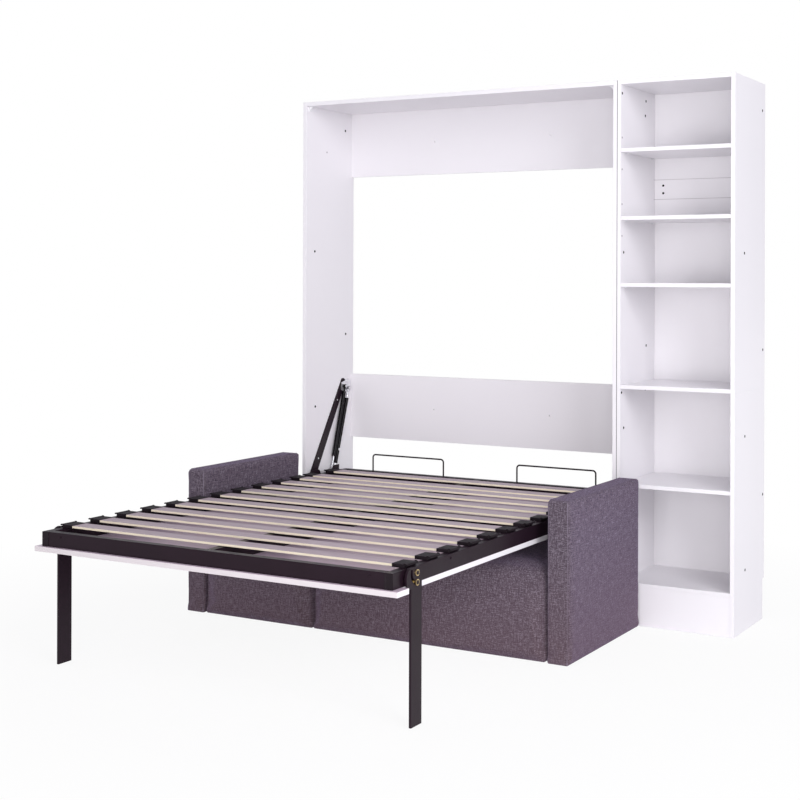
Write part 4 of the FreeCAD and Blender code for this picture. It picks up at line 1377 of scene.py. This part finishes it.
@dataclass
class HolderLips:
    """The thin lip that each slat holder turns out over the rail, with a rib at each end."""

    palette: Palette
    even_slats: int = 11
    slat_pitch: float = 0.140
    close_pitch: float = 0.102
    head_pitch: float = 0.168
    slat_width: float = 0.066
    length: float = 0.070
    inner_x: float = 0.709
    outer_x: float = 0.7235
    top: float = 0.504
    thickness: float = 0.0022
    crown: float = 0.0004
    turned_out: float = 0.0012
    turned_down: float = 0.004
    turned_taper: Point = (1.0, 0.82, 0.55)
    rib_half: float = 0.0009
    rib_in: float = 0.0011
    rib_short: float = 0.002
    rib_height: float = 0.0026
    rib_taper: Point = (0.6, 1.0, 1.0)
    edge: float = 0.0004

    def build(self) -> None:
        """Make one lip, and copy it to both ends of every slat."""
        pattern = self.lip()
        lips = []
        for side in Side:
            for middle in self.rows():
                lip = pattern.copy()
                lip.data = pattern.data.copy()
                bpy.context.scene.collection.objects.link(lip)
                lip.rotation_euler.z = 0.0 if side is Side.RIGHT else math.pi
                lip.location = (CABINET_X, middle, 0.0)
                settle(lip)
                lips.append(lip)
        bpy.data.objects.remove(pattern)
        hand_over("holder_lips", lips, self.palette.black_plastic, Body.BED.value, 30.0)

    def rows(self) -> list[float]:
        """Give the middle of each slat along the bed.

        Returns:
            The middles, from the foot to the head.
        """
        low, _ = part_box("slats")
        first = low[1] + self.slat_width / 2
        middles = [first + index * self.slat_pitch for index in range(self.even_slats)]
        middles.append(middles[-1] + self.close_pitch)
        middles.append(middles[-1] + self.head_pitch)
        return middles

    def lip(self) -> Piece:
        """Make one lip for the right side, round the middle of its slat.

        Returns:
            The lip.
        """
        half, under = self.length / 2, self.top - self.thickness
        plate = add_box(Vector((self.inner_x, -half, under)),
                        Vector((self.outer_x, half, self.top + self.crown)))
        with on_faces(plate, facing(across(1))):
            move = {"value": (self.turned_out, 0.0, -self.turned_down)}
            bpy.ops.mesh.extrude_region_move(TRANSFORM_OT_translate=move)
            bpy.ops.transform.resize(value=self.turned_taper)
        pieces = [plate]
        for end in (-1, 1):
            y = end * (half - self.rib_in)
            rib_high = Vector((self.outer_x - self.rib_short, y + self.rib_half, self.top + self.rib_height))
            rib = add_box(Vector((self.inner_x, y - self.rib_half, under)), rib_high)
            with on_faces(rib, facing(UPWARDS)):
                bpy.ops.transform.resize(value=self.rib_taper)
            pieces.append(rib)
        for piece in pieces:
            round_off(piece, self.edge)
        return join("lip", pieces)


@dataclass
class BoltCores:
    """The dark bolt that fills each brass ring of the legs, with a hexagonal socket."""

    palette: Palette
    face_x: float = 0.7433
    pivot_y: float = -1.928
    pivot_z: float = 0.476
    lock_drop: float = 0.030
    core: SocketHead = SocketHead(0.0074, 0.0013, 0.0004, 0.0005, 2, 0.003, 0.0006)

    def build(self) -> None:
        """Make all four cores."""
        cores = []
        for side in Side:
            for z in (self.pivot_z, self.pivot_z - self.lock_drop):
                place = from_cabinet(side.value * self.face_x, self.pivot_y, z)
                cores.append(self.core.made(place, across(side.value)))
        hand_over("leg_bolt_cores", cores, self.palette.steel, Body.BED.value)


@dataclass
class SpringTrim:
    """What finishes each gas spring: a guide ring at the mouth, a lock nut on the rod, a white cap."""

    palette: Palette
    offset_x: float = 0.738
    front_anchor: Spot = (-0.092, 0.878)
    front_stud: Spot = (-0.212, 0.470)
    front_length: float = 0.4253
    rear_anchor: Spot = (-0.062, 0.868)
    rear_stud: Spot = (-0.180, 0.497)
    rear_length: float = 0.3893
    ring_in: float = 0.098
    ring_radius: float = 0.0094
    ring_length: float = 0.0078
    ring_wall: float = 0.0014
    ring_round: float = 0.0008
    nut_in: float = 0.0175
    nut_radius: float = 0.0066
    nut_length: float = 0.0045
    nut_chamfer: float = 0.0006
    neck_in: float = 0.028
    neck_radius: float = 0.0072
    neck_length: float = 0.012
    cap_along: float = 0.297
    cap_out: float = 0.0078
    cap_radius: float = 0.0062
    cap_length: float = 0.0035
    cap_round: float = 0.0012

    def build(self) -> None:
        """Make the trim of all four springs."""
        for side in Side:
            self.front(side)
            self.rear(side)

    def line(self, side: Side, anchor: Spot, stud: Spot) -> tuple[Vector, Vector]:
        """Find where a spring lies.

        Args:
            side: the spring's side.
            anchor: the place of its upper eye.
            stud: the place of its lower eye.

        Returns:
            The anchor, and the direction down to the stud.
        """
        start = from_cabinet(side.value * self.offset_x, *anchor)
        end = from_cabinet(side.value * self.offset_x, *stud)
        return start, (end - start).normalized()

    def front(self, side: Side) -> None:
        """Trim a front spring: a ring at the cylinder's lower mouth, a nut above the lower eye.

        Args:
            side: the spring's side.
        """
        start, down = self.line(side, self.front_anchor, self.front_stud)
        spring, look = f"front_spring_{side.word}", self.palette
        mouth = start + down * (self.front_length - self.ring_in)
        ring = self.ring(mouth, down, self.ring_radius, self.ring_length)
        name = f"front_guide_ring_{side.word}"
        hand_over(name, [ring], look.black_plastic, f"{spring}_upper")
        nut = self.nut(start + down * (self.front_length - self.nut_in), down)
        hand_over(f"front_lock_nut_{side.word}", [nut], look.zinc, f"{spring}_lower", 25.0)

    def rear(self, side: Side) -> None:
        """Trim a rear spring: a nut below the upper eye, a zinc neck at the lower one, a white cap.

        Args:
            side: the spring's side.
        """
        start, down = self.line(side, self.rear_anchor, self.rear_stud)
        spring, look = f"rear_spring_{side.word}", self.palette
        nut = self.nut(start + down * self.nut_in, -down)
        hand_over(f"rear_lock_nut_{side.word}", [nut], look.zinc, f"{spring}_upper", 25.0)
        throat = start + down * (self.rear_length - self.neck_in)
        neck = self.ring(throat, down, self.neck_radius, self.neck_length)
        hand_over(f"rear_neck_{side.word}", [neck], look.zinc, f"{spring}_lower")
        inwards = across(-side.value)
        place = start + down * self.cap_along + inwards * self.cap_out
        cap = add_cylinder(self.cap_radius, self.cap_length, place, inwards)
        with on_faces(cap, facing(inwards)):
            bpy.ops.mesh.bevel(offset=self.cap_round, segments=3)
        hand_over(f"rear_white_cap_{side.word}", [cap], look.white_plastic, f"{spring}_lower")

    def ring(self, start: Vector, direction: Vector, radius: float, length: float) -> Piece:
        """Make a moulded ring with rounded edges round the spring's axis.

        Args:
            start: its near end.
            direction: the way that it runs.
            radius: its radius.
            length: its length.

        Returns:
            The ring.
        """
        ring = add_cylinder(radius, length, start, direction, 32)
        inset(ring, lambda face: abs(face.normal.dot(direction)) > 0.9, (self.ring_wall, 0.0))
        round_off(ring, self.ring_round)
        return ring

    def nut(self, start: Vector, direction: Vector) -> Piece:
        """Make a hexagonal nut with chamfered corners.

        Args:
            start: its near end.
            direction: the way that it runs.

        Returns:
            The nut.
        """
        nut = add_cylinder(self.nut_radius, self.nut_length, start, direction, 6)
        round_off(nut, self.nut_chamfer)
        return nut


# Stage

@dataclass(frozen=True)
class Lamp:
    """A square soft lamp, with its power in watts."""

    name: str
    place: Point
    target: Point
    size: float
    power: float
    colour: Colour

    def hang(self) -> None:
        """Put the lamp in its place and point it at its target."""
        data = bpy.data.lights.new(self.name, "AREA")
        data.shape = "SQUARE"
        data.size = self.size
        data.energy = self.power
        data.color = self.colour
        lamp = bpy.data.objects.new(self.name, data)
        bpy.context.scene.collection.objects.link(lamp)
        aim = Vector(self.target) - Vector(self.place)
        lamp.matrix_world = Matrix.Translation(self.place) @ aim.to_track_quat("-Z", "Y").to_matrix().to_4x4()


@dataclass
class Studio:
    """The pale floor, the lamps and the camera."""

    focal_px: float = 1419.61
    centre_px: Spot = (450.07, 278.97)
    frame_px: float = 800.0
    place: Point = (2.9731, -5.7252, 1.3869)
    yaw: float = 29.157
    roll: float = 0.166
    sensor_mm: float = 36.0
    floor_size: float = 60.0
    floor_z: float = -0.0006
    floor_colour: Colour = srgb(246, 245, 247)
    fade_from: float = 1.4
    fade_to: float = 2.8
    near_white: float = 0.90
    room_colour: Colour = (0.955, 0.95, 1.0)
    room_strength: float = 0.58
    lamps: tuple[Lamp, ...] = (
        Lamp("front", (2.6, -6.2, 0.9), (0.6, 0.8, 0.6), 3.4, 144.0, (1.0, 0.985, 0.98)),
        Lamp("key", (4.8, -2.8, 3.2), (0.2, 0.2, 0.9), 2.6, 160.0, (0.98, 0.97, 1.0)),
        Lamp("bounce", (1.4, -4.6, 0.05), (0.7, 0.6, 1.2), 2.6, 66.0, (1.0, 0.985, 0.98)),
    )

    def build(self) -> None:
        """Set up the view, the floor, the world and the lamps."""
        bpy.context.scene.view_settings.view_transform = "Standard"
        self.camera()
        self.floor()
        self.world()
        for lamp in self.lamps:
            lamp.hang()

    def camera(self) -> None:
        """Put the camera where the photograph was taken from."""
        yaw, roll = math.radians(self.yaw), math.radians(self.roll)
        ahead = Vector((-math.sin(yaw), math.cos(yaw), 0.0))
        level = Vector((math.cos(yaw), math.sin(yaw), 0.0))
        right = level * math.cos(roll) + UPWARDS * math.sin(roll)
        up = UPWARDS * math.cos(roll) - level * math.sin(roll)
        data = bpy.data.cameras.new("camera")
        data.sensor_width = self.sensor_mm
        data.lens = self.focal_px / self.frame_px * data.sensor_width
        middle = self.frame_px / 2
        data.shift_x = (middle - self.centre_px[0]) / self.frame_px
        data.shift_y = (self.centre_px[1] - middle) / self.frame_px
        camera = bpy.data.objects.new("camera", data)
        bpy.context.scene.collection.objects.link(camera)
        turn = Matrix((right, up, -ahead)).transposed().to_4x4()
        camera.matrix_world = Matrix.Translation(from_cabinet(*self.place)) @ turn
        bpy.context.scene.camera = camera

    def floor(self) -> None:
        """Lay a white floor that the camera sees as the white background, with the shadow left in."""
        deselect_all()
        bpy.ops.mesh.primitive_plane_add(size=self.floor_size, location=(0.0, 0.0, self.floor_z))
        floor = bpy.context.object
        floor.name = "floor"
        graph = Graph("pale_floor")
        graph.finish(Base_Color=self.floor_colour, Roughness=0.9, Specular_IOR_Level=0.1)
        white = graph.node("ShaderNodeEmission", inputs={"Color": (1.0, 1.0, 1.0)})
        seen = (graph.ray("Camera") + graph.ray("Glossy") + graph.ray("Transmission")).apply("MINIMUM", 1.0)
        distance = graph.node("ShaderNodeVectorMath", {"operation": "LENGTH"}, {0: graph.place()}, output=1)
        share = seen * graph.between(distance, self.fade_from, self.fade_to, self.near_white, 1.0)
        mix_shaders(graph.tree, share.socket, graph.shader.outputs["BSDF"], white.socket, graph.output)
        dress(floor, graph.material)

    def world(self) -> None:
        """Light the room evenly, and show it white to the camera."""
        world = bpy.data.worlds.new("room")
        bpy.context.scene.world = world
        world.use_nodes = True
        tree = world.node_tree
        tree.nodes.clear()
        output = tree.nodes.new("ShaderNodeOutputWorld")
        path = tree.nodes.new("ShaderNodeLightPath")
        shaders = []
        for colour, strength in ((self.room_colour, self.room_strength), ((1.0, 1.0, 1.0), 1.0)):
            background = tree.nodes.new("ShaderNodeBackground")
            background.inputs["Color"].default_value = (*colour, 1.0)
            background.inputs["Strength"].default_value = strength
            shaders.append(background.outputs["Background"])
        mix_shaders(tree, path.outputs["Is Camera Ray"], *shaders, output)


def main() -> None:
    """Build the whole scene round the frame."""
    logging.basicConfig(level=logging.INFO, format="%(name)s: %(message)s")
    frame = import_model()
    palette = Palette()
    Studio().build()
    Carcass(frame["nodes"], palette).build(frame["record"]["subparts"])
    for sub_assembly in (Sofa, BoardFittings, FrameTrim, HolderLips, BoltCores, SpringTrim):
        sub_assembly(palette).build()
    deselect_all()


if __name__ == "__main__":
    main()
